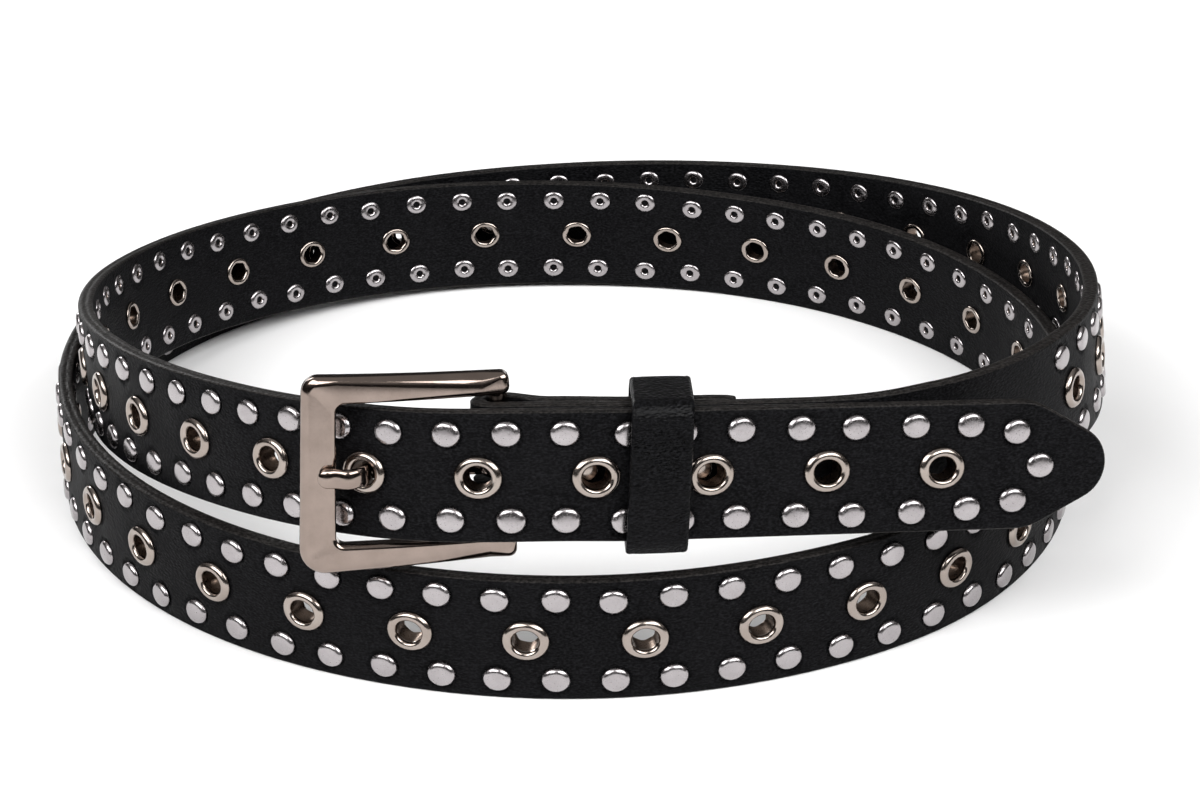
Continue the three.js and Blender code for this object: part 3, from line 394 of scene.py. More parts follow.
def trace_route():
    """Two turns, the bend round the heel bar, and the tail, with where the bend starts and ends."""
    turns = trace_turns(2 + heel_turn)
    fold_start = turns["along"][-1]
    fold_length = pi * FOLD_RADIUS
    steps = 2 * ceil(fold_length / SAMPLE_STEP)
    angle = (pi * np.arange(1, steps + 1) / steps)[:, None]
    fold = {"N": heel["N"] * np.cos(angle) + heel["T"] * np.sin(angle)}
    fold["T"] = heel["T"] * np.cos(angle) - heel["N"] * np.sin(angle)
    fold["U"] = np.tile(heel["U"], (steps, 1))
    fold["P"] = heel_bar_centre(heel_along) + fold["N"] * FOLD_RADIUS
    tail_length = RIVET_BACKS[1] + TAIL_PAST_RIVET
    back = np.arange(SAMPLE_STEP, tail_length + 4 * SAMPLE_STEP, SAMPLE_STEP)
    axes = axes_at(first_turn, heel_along - back)
    taper = RIVET_BACKS[0] - 2 * FOLD_RIVET_HEAD_RADIUS
    step = 2 * FOLD_RADIUS + (TAIL_STEP - 2 * FOLD_RADIUS) * smoothstep(0, taper, back)
    tail = {"P": axes["P"] - axes["N"] * (LAYER_STEP + step)[:, None], "T": -axes["T"]}
    tail["U"], tail["N"] = axes["U"], -axes["N"]
    joined = {key: np.concatenate([turns[key], fold[key], tail[key]]) for key in "PTUN"}
    fold_end = fold_start + fold_length
    return with_lengths(joined), fold_start, fold_end, fold_end + tail_length


route, fold_start, fold_end, strap_length = trace_route()
slot_start = fold_start - SLOT_MARGIN
slot_end = fold_end + SLOT_MARGIN
eyelets = np.arange(TIP_TO_EYELET, fold_start - PLAIN_LENGTH, PITCH)
eyelets[:len(EYELET_SLIPS)] += EYELET_SLIPS
FOUR_STUDS = [
    (x, y) for x in (-STUDS_FROM_EYELET, STUDS_FROM_EYELET) for y in (-STUD_ROW, STUD_ROW)
]
studs = np.array(TIP_STUDS + [(along + x, y) for along in eyelets for x, y in FOUR_STUDS])
studs[len(TIP_STUDS):] += rng.normal(0, STUD_SCATTER, (len(studs) - len(TIP_STUDS), 2))


# Meshes

def new_mesh(name, points, faces):
    mesh = bpy.data.meshes.new(name)
    mesh.from_pydata(np.asarray(points).tolist(), [], faces)
    return mesh


def add_piece(name, shape, material, node, sharp_degrees):
    """A piece from points in millimetres and faces, on the object's one body."""
    points, faces = shape
    mesh = new_mesh(name, (points - ORIGIN) * METRES, faces)
    mesh.validate()
    mesh.update()
    mesh.polygons.foreach_set("use_smooth", [True] * len(mesh.polygons))
    mesh.set_sharp_from_angle(angle=radians(sharp_degrees))
    mesh.materials.append(material)
    piece = new_object(name, mesh)
    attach(piece, "root")
    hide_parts(node)
    return piece


def paint_some(piece, material, is_painted):
    """A second material on some of the piece's faces."""
    piece.data.materials.append(material)
    for face in piece.data.polygons:
        face.material_index = int(is_painted(face))


def numbered_rows(rows):
    """Point numbers, row by row, of rows that will be joined to one list of points."""
    return np.arange(sum(map(len, rows))).reshape(len(rows), -1).tolist()


def bands(rows, closed=False):
    """Faces between each row of point numbers and the next; a row is a loop, or a pole's one point."""
    faces = []
    for a, b in zip(rows, rows[1:] + rows[:1] if closed else rows[1:]):
        count = max(len(a), len(b))
        for i in range(count):
            j = (i + 1) % count
            corners = [a[i % len(a)], a[j % len(a)], b[j % len(b)], b[i % len(b)]]
            faces.append(list(dict.fromkeys(corners)))
    return faces


def turned_over(faces):
    return [face[:1] + face[:0:-1] for face in faces]


def lathe(profile, sides, closed=False):
    """A profile of (radius, height) turned round the z axis."""
    points, rows = [], []
    for radius, height in profile:
        count = 1 if radius == 0 else sides
        rows.append([len(points) + k for k in range(count)])
        for k in range(count):
            angle = 2 * pi * k / sides
            points.append((radius * cos(angle), radius * sin(angle), height))
    return np.array(points), turned_over(bands(rows, closed))


def repeat(template, axes_list):
    """Copies of a template, one for each set of x, y, z axes and place."""
    points, faces = template
    all_points, all_faces = [], []
    for x, y, z, place in axes_list:
        offset = len(all_points) * len(points)
        all_points.append(points @ np.array([x, y, z]) + place)
        all_faces += [[offset + i for i in face] for face in faces]
    return np.concatenate(all_points), all_faces


# Strap

def rows_across():
    """Places across the strap where its faces have points, at the slot's sides among them."""
    edge = HALF_WIDTH - EDGE_ROUND
    outer = np.linspace(SLOT_HALF_WIDTH, edge, 8)
    middle = np.linspace(-SLOT_HALF_WIDTH, SLOT_HALF_WIDTH, 5)
    return np.concatenate([-outer[::-1], middle[1:-1], outer])


ROWS = rows_across()
SPACING = 1.3
FOLD_SPACING = 0.5
SLOT_SPACING = 1.1
GRID_GAP = 0.5 * SPACING  # between the grid and the outline
RING_GAP = 0.6 * SPACING  # between the grid and a stud's or eyelet's rings
RING_TO_EDGE = 0.3 * SPACING
STUD_DENT = (2.52, 3.08)  # radii between which the leather rises to its face
EYELET_DENT = (3.7, 5.2)
OUTER_DENTS = (0.34, 0.22)  # depths round the studs and the eyelets
INNER_DENTS = (0.12, 0.15)
THINNED_EDGE = 1.6
THINNING_WIDTH = 1.2  # over which it grows
FACE_SINK = 0.03
STUD_RINGS = [(1.2, 7), (2.3, 16), (2.6, 20), (2.85, 22), (3.1, 22), (3.5, 18)]  # radius, points
EYELET_RINGS = [(LEATHER_HOLE, 24), (3.4, 20), (4.1, 26), (4.6, 26), (5.3, 24)]


def ring_points(centre, radius, count):
    angle = 2 * pi * (np.arange(count) + 0.5) / count
    return centre + radius * np.column_stack([np.cos(angle), np.sin(angle)])


def spread(start, end, step):
    return np.linspace(start, end, max(2, round((end - start) / step) + 1))


def depth_in(outline, points):
    """How far the points lie inside a convex outline that runs anticlockwise."""
    depth = np.full(len(points), np.inf)
    for p, d in zip(outline, np.roll(outline, -1, 0) - outline):
        side = (d[0] * (points[:, 1] - p[1]) - d[1] * (points[:, 0] - p[0])) / np.hypot(*d)
        depth = np.minimum(depth, side)
    return depth


def nearest_distance(points, centres):
    best = np.full(len(points), np.inf)
    for centre in centres:
        best = np.minimum(best, np.hypot(*(points - centre).T))
    return best


def triangulate(outline, stud_centres, eyelet_centres):
    """Triangles of a flat region with rings of points round its studs and eyelets."""
    outline = np.asarray(outline)
    columns, lines = [spread(*ends, SPACING) for ends in zip(outline.min(0), outline.max(0))]
    grid = np.array([(x, y) for x in columns for y in lines])
    edges = [(i, (i + 1) % len(outline)) for i in range(len(outline))]
    inside = depth_in(outline, grid) > GRID_GAP
    points = [outline]
    for centres, rings in ((stud_centres, STUD_RINGS), (eyelet_centres, EYELET_RINGS)):
        inside &= nearest_distance(grid, centres) > rings[-1][0] + RING_GAP
        for centre in centres:
            for radius, count in rings:
                ring = ring_points(centre, radius, count)
                points.append(ring[depth_in(outline, ring) > RING_TO_EDGE])
    points.append(grid[inside])
    points = np.concatenate(points)
    vertices, _, faces, *_ = delaunay_2d_cdt([Vector(p) for p in points], edges, [], 0, 1e-5)
    flat = np.array([tuple(v) for v in vertices])
    triangles = np.array(faces)
    to_hole = nearest_distance(flat[triangles].mean(1), eyelet_centres)
    return flat, triangles[to_hole > 0.97 * LEATHER_HOLE]


def cell_outline(start, end):
    edge = ROWS[-1]
    columns = spread(start, end, SPACING)
    lower = [(x, -edge) for x in columns[:-1]]
    right = [(end, y) for y in ROWS[:-1]]
    upper = [(x, edge) for x in columns[:0:-1]]
    left = [(start, y) for y in ROWS[:0:-1]]
    return lower + right + upper + left


def tip_outline(end):
    """Inside line of the tip's rounded edge: nose, shoulders, and sides up to the first cell."""
    edge = ROWS[-1]
    tangent = atan2(HALF_WIDTH, TIP_LENGTH - NOSE_RADIUS)
    tangent += acos(NOSE_RADIUS / hypot(HALF_WIDTH, TIP_LENGTH - NOSE_RADIUS))
    radius = NOSE_RADIUS - EDGE_ROUND
    angles = np.linspace(tangent, 2 * pi - tangent, 19)
    nose = [(NOSE_RADIUS + radius * cos(a), radius * sin(a)) for a in angles]
    direction = np.array([sin(tangent), -cos(tangent)])
    start = np.array(nose[0])
    corner = start + direction * (edge - start[1]) / direction[1]
    before = corner - direction * SHOULDER_ROUNDING
    beyond = corner + (SHOULDER_ROUNDING, 0)
    shares = np.linspace(0, 1, 7)
    bend = [before * (1 - s) ** 2 + 2 * corner * s * (1 - s) + beyond * s**2 for s in shares]
    slope = [start + (before - start) * s for s in np.linspace(0, 1, 6)[1:-1]]
    level = [(x, edge) for x in np.linspace(beyond[0], end, 5)[1:]]
    upper = [tuple(p) for p in slope + bend] + level
    lower = [(x, -y) for x, y in upper]
    right = [(end, y) for y in ROWS[1:-1]]
    return upper[::-1] + nose + lower + right


def cell_from(along, length):
    """The stretch with one eyelet and its four studs, up to half a pitch before the next eyelet."""
    half = PITCH / 2
    cell_studs = [(along + x, y) for x, y in FOUR_STUDS]
    return triangulate(cell_outline(along - half, along + length - half), cell_studs, [(along, 0)])


def grid_region(columns):
    """Quads of the plain stretch, the slot's sides and the tail, cut in two triangles each."""
    points = np.array([(x, y) for x in columns for y in ROWS])
    triangles = []
    for i in range(len(columns) - 1):
        x = (columns[i] + columns[i + 1]) / 2
        for j in range(len(ROWS) - 1):
            y = (ROWS[j] + ROWS[j + 1]) / 2
            if slot_start < x < slot_end and abs(y) < SLOT_HALF_WIDTH:
                continue
            a = i * len(ROWS) + j
            b = a + len(ROWS)
            triangles += [(a, b, b + 1), (a, b + 1, a + 1)]
    return points, np.array(triangles)


def flat_strap():
    """Points and triangles of the strap's flat faces, inside its rounded edges."""
    half = PITCH / 2
    parts = [triangulate(tip_outline(eyelets[0] - half), TIP_STUDS, [])]
    slipped = eyelets[:len(EYELET_SLIPS) + 1]
    parts += [cell_from(start, end - start) for start, end in zip(slipped, slipped[1:])]
    points, triangles = cell_from(0, PITCH)
    parts += [(points + (along, 0), triangles) for along in eyelets[len(EYELET_SLIPS):]]
    stops = [eyelets[-1] + half, slot_start, fold_start, fold_end, slot_end, strap_length - EDGE_ROUND]
    steps = [SPACING, SLOT_SPACING, FOLD_SPACING, SLOT_SPACING, SPACING]
    columns = [spread(a, b, step) for a, b, step in zip(stops, stops[1:], steps)]
    parts.append(grid_region(np.unique(np.concatenate(columns))))
    offsets = np.cumsum([0] + [len(p) for p, _ in parts[:-1]])
    points = np.concatenate([p for p, _ in parts])
    triangles = np.concatenate([t + offset for (_, t), offset in zip(parts, offsets)])
    _, first, inverse = np.unique(np.round(points, 3), axis=0, return_index=True, return_inverse=True)
    triangles = inverse.ravel()[triangles]
    return points[first], triangles[[len(set(corners)) == 3 for corners in triangles.tolist()]]


def boundary_loops(triangles):
    """Loops of the edges that have one triangle only, in the triangles' direction."""
    edges = {(t[i - 1], t[i]) for t in triangles.tolist() for i in range(3)}
    following = {a: b for a, b in edges if (b, a) not in edges}
    loops = []
    while following:
        start = min(following)
        loop = [start]
        while following[loop[-1]] != start:
            loop.append(following.pop(loop[-1]))
        following.pop(loop[-1])
        loops.append(loop)
    return loops


def face_height(points, stud_depth, eyelet_depth):
    """How far a face lies from the middle of the leather: pressed in round each stud and eyelet."""
    x, y = points.T
    waves = np.sin(x * 0.21 + 0.4) * np.sin(y * 0.33 + x * 0.043)
    waves += 0.7 * np.sin(x * 0.083 + y * 0.21 + 1.3)
    height = HALF_THICKNESS + UNEVENNESS * waves - FACE_SINK
    to_stud = nearest_distance(points, studs)
    to_eyelet = nearest_distance(points, [(along, 0) for along in eyelets])
    height -= stud_depth * (1 - smoothstep(*STUD_DENT, to_stud))
    height -= eyelet_depth * (1 - smoothstep(*EYELET_DENT, to_eyelet))
    past_plain = np.abs(y) - (HALF_WIDTH - THINNED_EDGE)
    return height - EDGE_THINNING * smoothstep(0, THINNING_WIDTH, past_plain)


def bend(flat):
    """Flat points (along, across, out) in their places on the route; the tail thins out."""
    axes = axes_at(route, flat[:, 0])
    thinning = smoothstep(strap_length - TAIL_SKIVE_LENGTH, strap_length, flat[:, 0])
    out = flat[:, 2] * (1 - (1 - TAIL_SKIVE) * thinning)
    return axes["P"] + axes["U"] * flat[:, 1:2] + axes["N"] * out[:, None]


# Rounded edge from the outer to the inner face: shares of EDGE_ROUND and of the half thickness
UPPER_EDGE = [(0.42, 0.93), (0.78, 0.8), (1, 0.58), (1, 0.2)]
EDGE_PROFILE = UPPER_EDGE + [(0.8, 0)] + [(outset, -share) for outset, share in UPPER_EDGE[::-1]]


def edge_rings(line):
    """Points of the rounded edge outside a closed line, from the outer to the inner face."""
    side = unit(np.roll(line, -1, 0) - line) + unit(line - np.roll(line, 1, 0))
    outward = unit(np.stack([side[:, 1], -side[:, 0]], 1))
    for outset, share in EDGE_PROFILE:
        height = np.full(len(line), share * HALF_THICKNESS)
        yield np.column_stack([line + outward * outset * EDGE_ROUND, height])


def make_strap(material, edge_material):
    flat, triangles = flat_strap()
    count = len(flat)
    front = np.column_stack([flat, face_height(flat, *OUTER_DENTS)])
    back = np.column_stack([flat, -face_height(flat, *INNER_DENTS)])
    faces = [t[::-1] for t in triangles.tolist()] + (triangles + count).tolist()
    loops = boundary_loops(triangles)
    contour = max(loops, key=len)
    edge = list(edge_rings(flat[contour]))
    edge_rows = [[2 * count + i for i in row] for row in numbered_rows(edge)]
    for loop in loops:
        between = edge_rows if loop is contour else []
        faces += bands([loop, *between, [i + count for i in loop]])
    shape = bend(np.concatenate([front, back, *edge])), faces
    strap = add_piece("strap", shape, material, "strap", 60)
    paint_some(strap, edge_material, lambda face: min(face.vertices) >= 2 * count)


def outer_axes(along, across):
    """Axes of a stud's or eyelet's outer side: across, along and out of the leather, and its place."""
    axes = axes_at(route, along)
    place = axes["P"] + axes["U"] * across + axes["N"] * HALF_THICKNESS
    return axes["U"], axes["T"], axes["N"], place


def inner_axes(along, across):
    axes = axes_at(route, along)
    place = axes["P"] + axes["U"] * across - axes["N"] * HALF_THICKNESS
    return axes["T"], axes["U"], -axes["N"], place


# Profiles of the studs and eyelets: radius, and height above the leather's outer or inner face
STUD_CAP = [
    (0, 0.7), (0.9, 0.69), (1.45, 0.655), (1.78, 0.6), (2.02, 0.5), (2.22, 0.35), (2.38, 0.16),
    (2.47, -0.05), (2.5, -0.25), (2.42, -0.42), (1.4, -0.5), (0, -0.5),
]
STUD_BACK = [
    (0, -0.95), (0.42, -0.9), (0.56, -0.45), (0.68, -0.02), (0.84, 0.16), (1.1, 0.22), (1.5, 0.22),
    (1.85, 0.14), (2.1, 0), (2.2, -0.18), (1.2, -1.25), (0, -1.25),
]
EYELET = [
    (2.0, -3.02), (2.1, -2.75), (2.25, -2.2), (2.25, -0.1), (2.3, 0.3), (2.46, 0.62), (2.75, 0.8),
    (3.1, 0.83), (3.43, 0.75), (3.73, 0.56), (3.96, 0.28), (4.1, -0.02), (4.02, -0.25), (2.45, -0.25),
    (2.45, -2.75), (2.98, -2.75), (3.08, -2.92), (3.0, -3.1), (2.78, -3.2), (2.45, -3.22), (2.15, -3.16),
]
STUD_CAP_SIDES = 24
STUD_BACK_SIDES = 18
EYELET_SIDES = 36
SPLIT_BELOW, SPLIT_WITHIN = -2.85, 2.7  # height and radius of the eyelet's split back rim
INSIDE_BANDS = 3  # of a stud's back and of an eyelet, counted from the start of the profile; these bands inside the holes get a darker metal as painted shade


def lower_across(vector, across_strap):
    return vector - (1 - METAL_HEIGHT) * np.dot(vector, across_strap) * across_strap


def turned_axes(x, y, z, place, across_strap):
    """A stud's or eyelet's axes, turned at random in the leather's plane."""
    turn = rng.uniform(0, 2 * pi)
    first = x * cos(turn) + y * sin(turn)
    second = y * cos(turn) - x * sin(turn)
    return lower_across(first, across_strap), lower_across(second, across_strap), z, place


def tilted_axes(x, y, z, place):
    """A stud's axes, tilted and sunk at random."""
    tilt = rng.normal(0, STUD_TILT, 2)
    z_tilted = unit(z + tilt[0] * x + tilt[1] * y)
    x_tilted = unit(x - z_tilted * np.dot(x, z_tilted))
    y_tilted = np.cross(z_tilted, x_tilted)
    place = place + z * rng.uniform(-STUD_SINK, 0)
    return lower_across(x_tilted, x), lower_across(y_tilted, x), z_tilted, place


def add_metal(name, template, places, material, sharp_degrees=70):
    return add_piece(name, repeat(template, places), material, "strap", sharp_degrees)


def paint_hole_shade(piece, material, template, sides):
    """The first bands of each repeated lathe lie inside its hole and get a darker metal of their own, as
    painted shade in the hole.
    """
    faces_each = len(template[1])
    paint_some(piece, material, lambda face: face.index % faces_each < INSIDE_BANDS * sides)


def make_studs(material, hole_shade_material):
    caps, backs = [], []
    for along, across in studs:
        caps.append(tilted_axes(*outer_axes(along, across)))
        x, y, z, place = inner_axes(along, across)
        backs.append(turned_axes(x, y, z, place, y))
    add_metal("stud_caps", lathe(STUD_CAP, STUD_CAP_SIDES), caps, material)
    template = lathe(STUD_BACK, STUD_BACK_SIDES)
    piece = add_metal("stud_backs", template, backs, material)
    paint_hole_shade(piece, hole_shade_material, template, STUD_BACK_SIDES)


def make_eyelets(material, hole_shade_material):
    template = lathe(EYELET, EYELET_SIDES, closed=True)
    points = template[0]
    x, y, height = points.T
    split = (height < SPLIT_BELOW) & (np.hypot(x, y) < SPLIT_WITHIN)
    points[split, :2] *= (1 + EYELET_SPLIT * np.cos(6 * np.arctan2(y, x)[split]))[:, None]
    places = []
    for along in eyelets:
        x, y, z, place = outer_axes(along, 0)
        places.append(turned_axes(x, y, z, place, x))
    piece = add_metal("eyelets", template, places, material, 60)
    paint_hole_shade(piece, hole_shade_material, template, EYELET_SIDES)


# Buckle

def arc(x, y, radius, start, end, steps):
    angles = np.radians(np.linspace(start, end, steps + 1))
    return [(x + radius * cos(a), y + radius * sin(a)) for a in angles]


def side_steps(start, end, steps):
    start, end = np.array(start), np.array(end)
    return [tuple(start + (end - start) * i / steps) for i in range(1, steps)]


def frame_outline():
    """The loop's outer side from one bar end to the other, and back along its inner side in pairs."""
    end_y = BAR_END_RADIUS - HEEL_BAR_SETBACK
    outer_y = FRAME_FRONT - FRAME_CORNER_RADIUS
    inner_y = WINDOW_FRONT - WINDOW_CORNER_RADIUS
    heel_x = FRAME_HALF - SIDE_BAR_TAPER
    outer_x = heel_x - BAR_END_RADIUS
    inner_x = WINDOW_HALF + BAR_END_RADIUS
    corner_x = FRAME_HALF - FRAME_CORNER_RADIUS
    upper_x, upper_y = FRAME_HALF - UPPER_CORNER_RADIUS, FRAME_FRONT - UPPER_CORNER_RADIUS
    window_x = WINDOW_HALF - WINDOW_CORNER_RADIUS
    return [
        *arc(outer_x, end_y, BAR_END_RADIUS, -90, 0, 5),
        *side_steps((heel_x, end_y), (FRAME_HALF, upper_y), 10),
        *arc(upper_x, upper_y, UPPER_CORNER_RADIUS, 0, 90, 10),
        *arc(-corner_x, outer_y, FRAME_CORNER_RADIUS, 90, 180, 10),
        *side_steps((-FRAME_HALF, outer_y), (-heel_x, end_y), 10),
        *arc(-outer_x, end_y, BAR_END_RADIUS, 180, 270, 5),
        *arc(-inner_x, end_y, BAR_END_RADIUS, 270, 360, 5),
        *side_steps((-WINDOW_HALF, end_y), (-WINDOW_HALF, inner_y), 10),
        *arc(-window_x, inner_y, WINDOW_CORNER_RADIUS, 180, 90, 10),
        *arc(window_x, inner_y, WINDOW_CORNER_RADIUS, 90, 0, 10),
        *side_steps((WINDOW_HALF, inner_y), (WINDOW_HALF, end_y), 10),
        *arc(inner_x, end_y, BAR_END_RADIUS, 180, 270, 5),
    ]


def bevel_at(outline):
    """The bevel's width on the outer half and then the inner half of the loop."""
    y = outline[:, 1]
    from_end = y + HEEL_BAR_SETBACK
    to_corner = np.clip(from_end / (FRAME_LENGTH - FRAME_CORNER_RADIUS), 0, 1)
    to_front = np.clip((y - FRAME_FRONT) / FRAME_CORNER_RADIUS + 1, 0, 1)
    outer = HEEL_BEVEL + (CORNER_BEVEL - HEEL_BEVEL) * to_corner
    outer += (FRONT_BEVEL - outer) * to_front
    outer = np.minimum(outer, BAR_END_BEVEL + np.maximum(0, from_end - BAR_END_RADIUS) / 2)
    return np.where(np.arange(len(y)) < len(y) // 2, outer, INNER_BEVEL)


def bow_at(y):
    share = np.clip(y / FRAME_FRONT, 0, 1)
    return 4 * FRAME_BOW * share * (1 - share)


def inset(outline, amount):
    """The outline moved into the metal, corner by corner."""
    before = unit(outline - np.roll(outline, 1, 0))
    after = unit(np.roll(outline, -1, 0) - outline)
    in_a = np.stack([-before[:, 1], before[:, 0]], 1)
    in_b = np.stack([-after[:, 1], after[:, 0]], 1)
    middle = unit(in_a + in_b)
    return outline + middle * (amount / np.sum(middle * in_a, 1))[:, None]


# Rounded edge of the frame's bars: inset and drop, as shares of the bevel
INSET_AND_DROP = [(0, 1.3), (0.015, 1.02), (0.08, 0.8), (0.27, 0.52)]
FRAME_PROFILE = INSET_AND_DROP + [(drop, share) for share, drop in INSET_AND_DROP[::-1]]


def skewed(outline):
    """The outline with the upper end of the front bar set back, and the heel bar where it was."""
    share = np.clip(outline[:, 1] / FRAME_FRONT, 0, 1)
    back = FRONT_BAR_SKEW * (outline[:, 0] + SKEW_CENTRE) * share
    return np.column_stack([outline[:, 0], outline[:, 1] - back])


def frame_mesh():
    straight = np.array(frame_outline())
    outline = skewed(straight)
    count = len(outline)
    middle = bow_at(straight[:, 1])
    bevel = bevel_at(straight)
    rings = []
    for share, drop in reversed(FRAME_PROFILE):
        height = middle - FRAME_DEPTH / 2 + drop * BACK_ROUND
        rings.append(np.column_stack([inset(outline, share * BACK_ROUND), height]))
    for share, drop in FRAME_PROFILE:
        height = middle + FRAME_DEPTH / 2 - drop * bevel * BEVEL_DEPTH
        rings.append(np.column_stack([inset(outline, share * bevel), height]))
    rows = numbered_rows(rings)
    faces = bands(rows)
    for i in range(count // 2 - 1):
        corners = [i, i + 1, count - 2 - i, count - 1 - i]
        faces.append([rows[0][k] for k in corners[::-1]])
        faces.append([rows[-1][k] for k in corners])
    return np.concatenate(rings), faces


def buckle_axes():
    place = heel_bar_centre(heel_along)
    forward = unit(front_bar - place)
    across = unit(heel["U"] - forward * np.dot(heel["U"], forward))
    return across, forward, np.cross(across, forward), place


BUCKLE = buckle_axes()


def to_buckle(point):
    return np.array(BUCKLE[:3]) @ (point - BUCKLE[3])


def join_solids(*meshes):
    """One mesh from several closed ones, joined where they overlap."""
    solids = [new_object("part", new_mesh("part", points, faces)) for points, faces in meshes]
    base = solids[0]
    for other in solids[1:]:
        union = base.modifiers.new("union", "BOOLEAN")
        union.operation = "UNION"
        union.solver = "EXACT"
        union.object = other
    evaluated = base.evaluated_get(bpy.context.evaluated_depsgraph_get())
    result = bpy.data.meshes.new_from_object(evaluated)
    points = np.array([tuple(v.co) for v in result.vertices])
    faces = [list(p.vertices) for p in result.polygons]
    bpy.data.meshes.remove(result)
    for solid in solids:
        bpy.data.meshes.remove(solid.data)
    return points, faces


def turned_to_x(template):
    points, faces = template
    return points[:, [2, 0, 1]], faces


def make_frame(material):
    half = WINDOW_HALF + HEEL_BAR_HOLD * SIDE_BAR_WIDTH
    ends = [(0, half), (HEEL_BAR_RADIUS, half), (HEEL_BAR_RADIUS, -half), (0, -half)]
    rod = lathe(ends, HEEL_BAR_SIDES)
    shape = repeat(join_solids(frame_mesh(), turned_to_x(rod)), [BUCKLE])
    add_piece("buckle_frame", shape, material, "buckle_frame", 35)


def curve_through(points, samples):
    """A centripetal curve through the points, straight on past its ends."""
    points = np.asarray(points, float)
    padded = np.concatenate([[2 * points[0] - points[1]], points, [2 * points[-1] - points[-2]]])
    result = []
    for i in range(len(points) - 1):
        p0, p1, p2, p3 = padded[i:i + 4]
        d0, d1, d2 = [np.linalg.norm(step) ** 0.5 for step in (p1 - p0, p2 - p1, p3 - p2)]
        m1 = (p1 - p0) / d0 - (p2 - p0) / (d0 + d1) + (p2 - p1) / d1
        m2 = (p2 - p1) / d1 - (p3 - p1) / (d1 + d2) + (p3 - p2) / d2
        t = np.linspace(0, 1, samples, endpoint=False)[:, None]
        result.append(hermite(t, p1, p2, d1 * m1, d1 * m2))
    return np.concatenate(result + [points[-1:]])


def prong_line():
    """The middle of the prong from its eye to its end, in the buckle's (forward, out)."""
    axes = axes_at(first_turn, PRONG_ALONG)
    eyelet, tip = to_buckle(axes["P"]), to_buckle(axes["P"] + axes["N"])
    climb = atan2(tip[2] - eyelet[2], tip[1] - eyelet[1]) - radians(PRONG_SLANT)
    rise = [axes["P"] + along * axes["T"] + out * axes["N"] for along, out in PRONG_RISE]

    def reach(distance):
        return eyelet[1] + distance * cos(climb), eyelet[2] + distance * sin(climb)

    def over_bar(y):
        return bow_at(y) + FRAME_DEPTH / 2 + CLEARANCE + PRONG_THICKNESS / 2

    below = reach(-PRONG_CRANK)
    dip = eyelet[1] - PRONG_DIP_TO_EYELET, below[1] - CLEARANCE
    end = BAR_SPACING + PRONG_OVERHANG
    return curve_through([
        (PRONG_EYE_RADIUS, 0),
        ((PRONG_EYE_RADIUS + dip[0]) / 2, dip[1] / 2),
        dip,
        below,
        reach(0),
        *(to_buckle(place)[1:] for place in rise),
        (WINDOW_FRONT, over_bar(WINDOW_FRONT)),
        (end, over_bar(end)),
    ], CURVE_STEPS)


def make_prong(material):
    line = prong_line()
    lengths = lengths_along(line)
    half = PRONG_WIDTH / 2
    round_start = lengths[-1] - half
    bends = np.radians([12, 24, 36, 48, 60, 70, 79, 86])
    straight = np.linspace(0, round_start, PRONG_STEPS)
    places = np.concatenate([straight, round_start + half * np.sin(bends)])
    sizes = np.concatenate([np.ones(PRONG_STEPS), np.cos(bends)])
    angle = 2 * pi * np.arange(PRONG_SIDES) / PRONG_SIDES
    across, lift = [
        size * np.sign(wave) * np.abs(wave) ** PRONG_SQUARENESS
        for size, wave in ((half, np.cos(angle)), (PRONG_THICKNESS / 2, np.sin(angle)))
    ]

    def on_line(distance):
        return np.array([np.interp(distance, lengths, line[:, i]) for i in (0, 1)])

    shank = []
    for place, size in zip(places, sizes):
        y, z = on_line(place)
        forward = unit(on_line(place + SLOPE_STEP) - on_line(place - SLOPE_STEP))
        shank.append(size * np.column_stack([across, -forward[1] * lift, forward[0] * lift]) + (0, y, z))
    rows = numbered_rows(shank)
    shank_faces = turned_over(bands(rows)) + [rows[0], rows[-1][::-1]]
    radius = PRONG_EYE_RADIUS + lift
    eye = [
        np.column_stack([across, radius * cos(turn), radius * sin(turn)])
        for turn in 2 * pi * np.arange(EYE_STEPS) / EYE_STEPS
    ]
    eye_faces = bands(numbered_rows(eye), closed=True)
    prong = join_solids((np.concatenate(eye), eye_faces), (np.concatenate(shank), shank_faces))
    add_piece("prong", repeat(prong, [BUCKLE]), material, "prong", 50)


# Keeper and fold rivets

def place_on_tip_strap(back):
    axes = axes_at(first_turn, heel_along - back)
    return axes["U"], axes["T"], axes["N"], axes["P"]


def loop_outline(half, bottom, top, radius):
    """A rounded rectangle from -half to half and from bottom to top."""
    x, low, high = half - radius, bottom + radius, top - radius
    corners = [
        arc(*centre, radius, start, start + 90, 8)
        for centre, start in (((x, low), -90), ((x, high), 0), ((-x, high), 90), ((-x, low), 180))
    ]
    outline = []
    for corner, next_corner, steps in zip(corners, corners[1:] + corners[:1], (10, 18, 10, 18)):
        outline += corner + side_steps(corner[-1], next_corner[0], steps)
    return np.array(outline)


# Half of the keeper's section: share of the way through its wall, and distance from its side
KEEPER_PROFILE = [
    (0, 0.35), (0.14, 0.08), (0.4, 0), (0.7, 0.05), (0.9, 0.28), (0.985, 0.65), (0.96, 1.2), (1, 2.2),
    (1.02, 4.05),
]


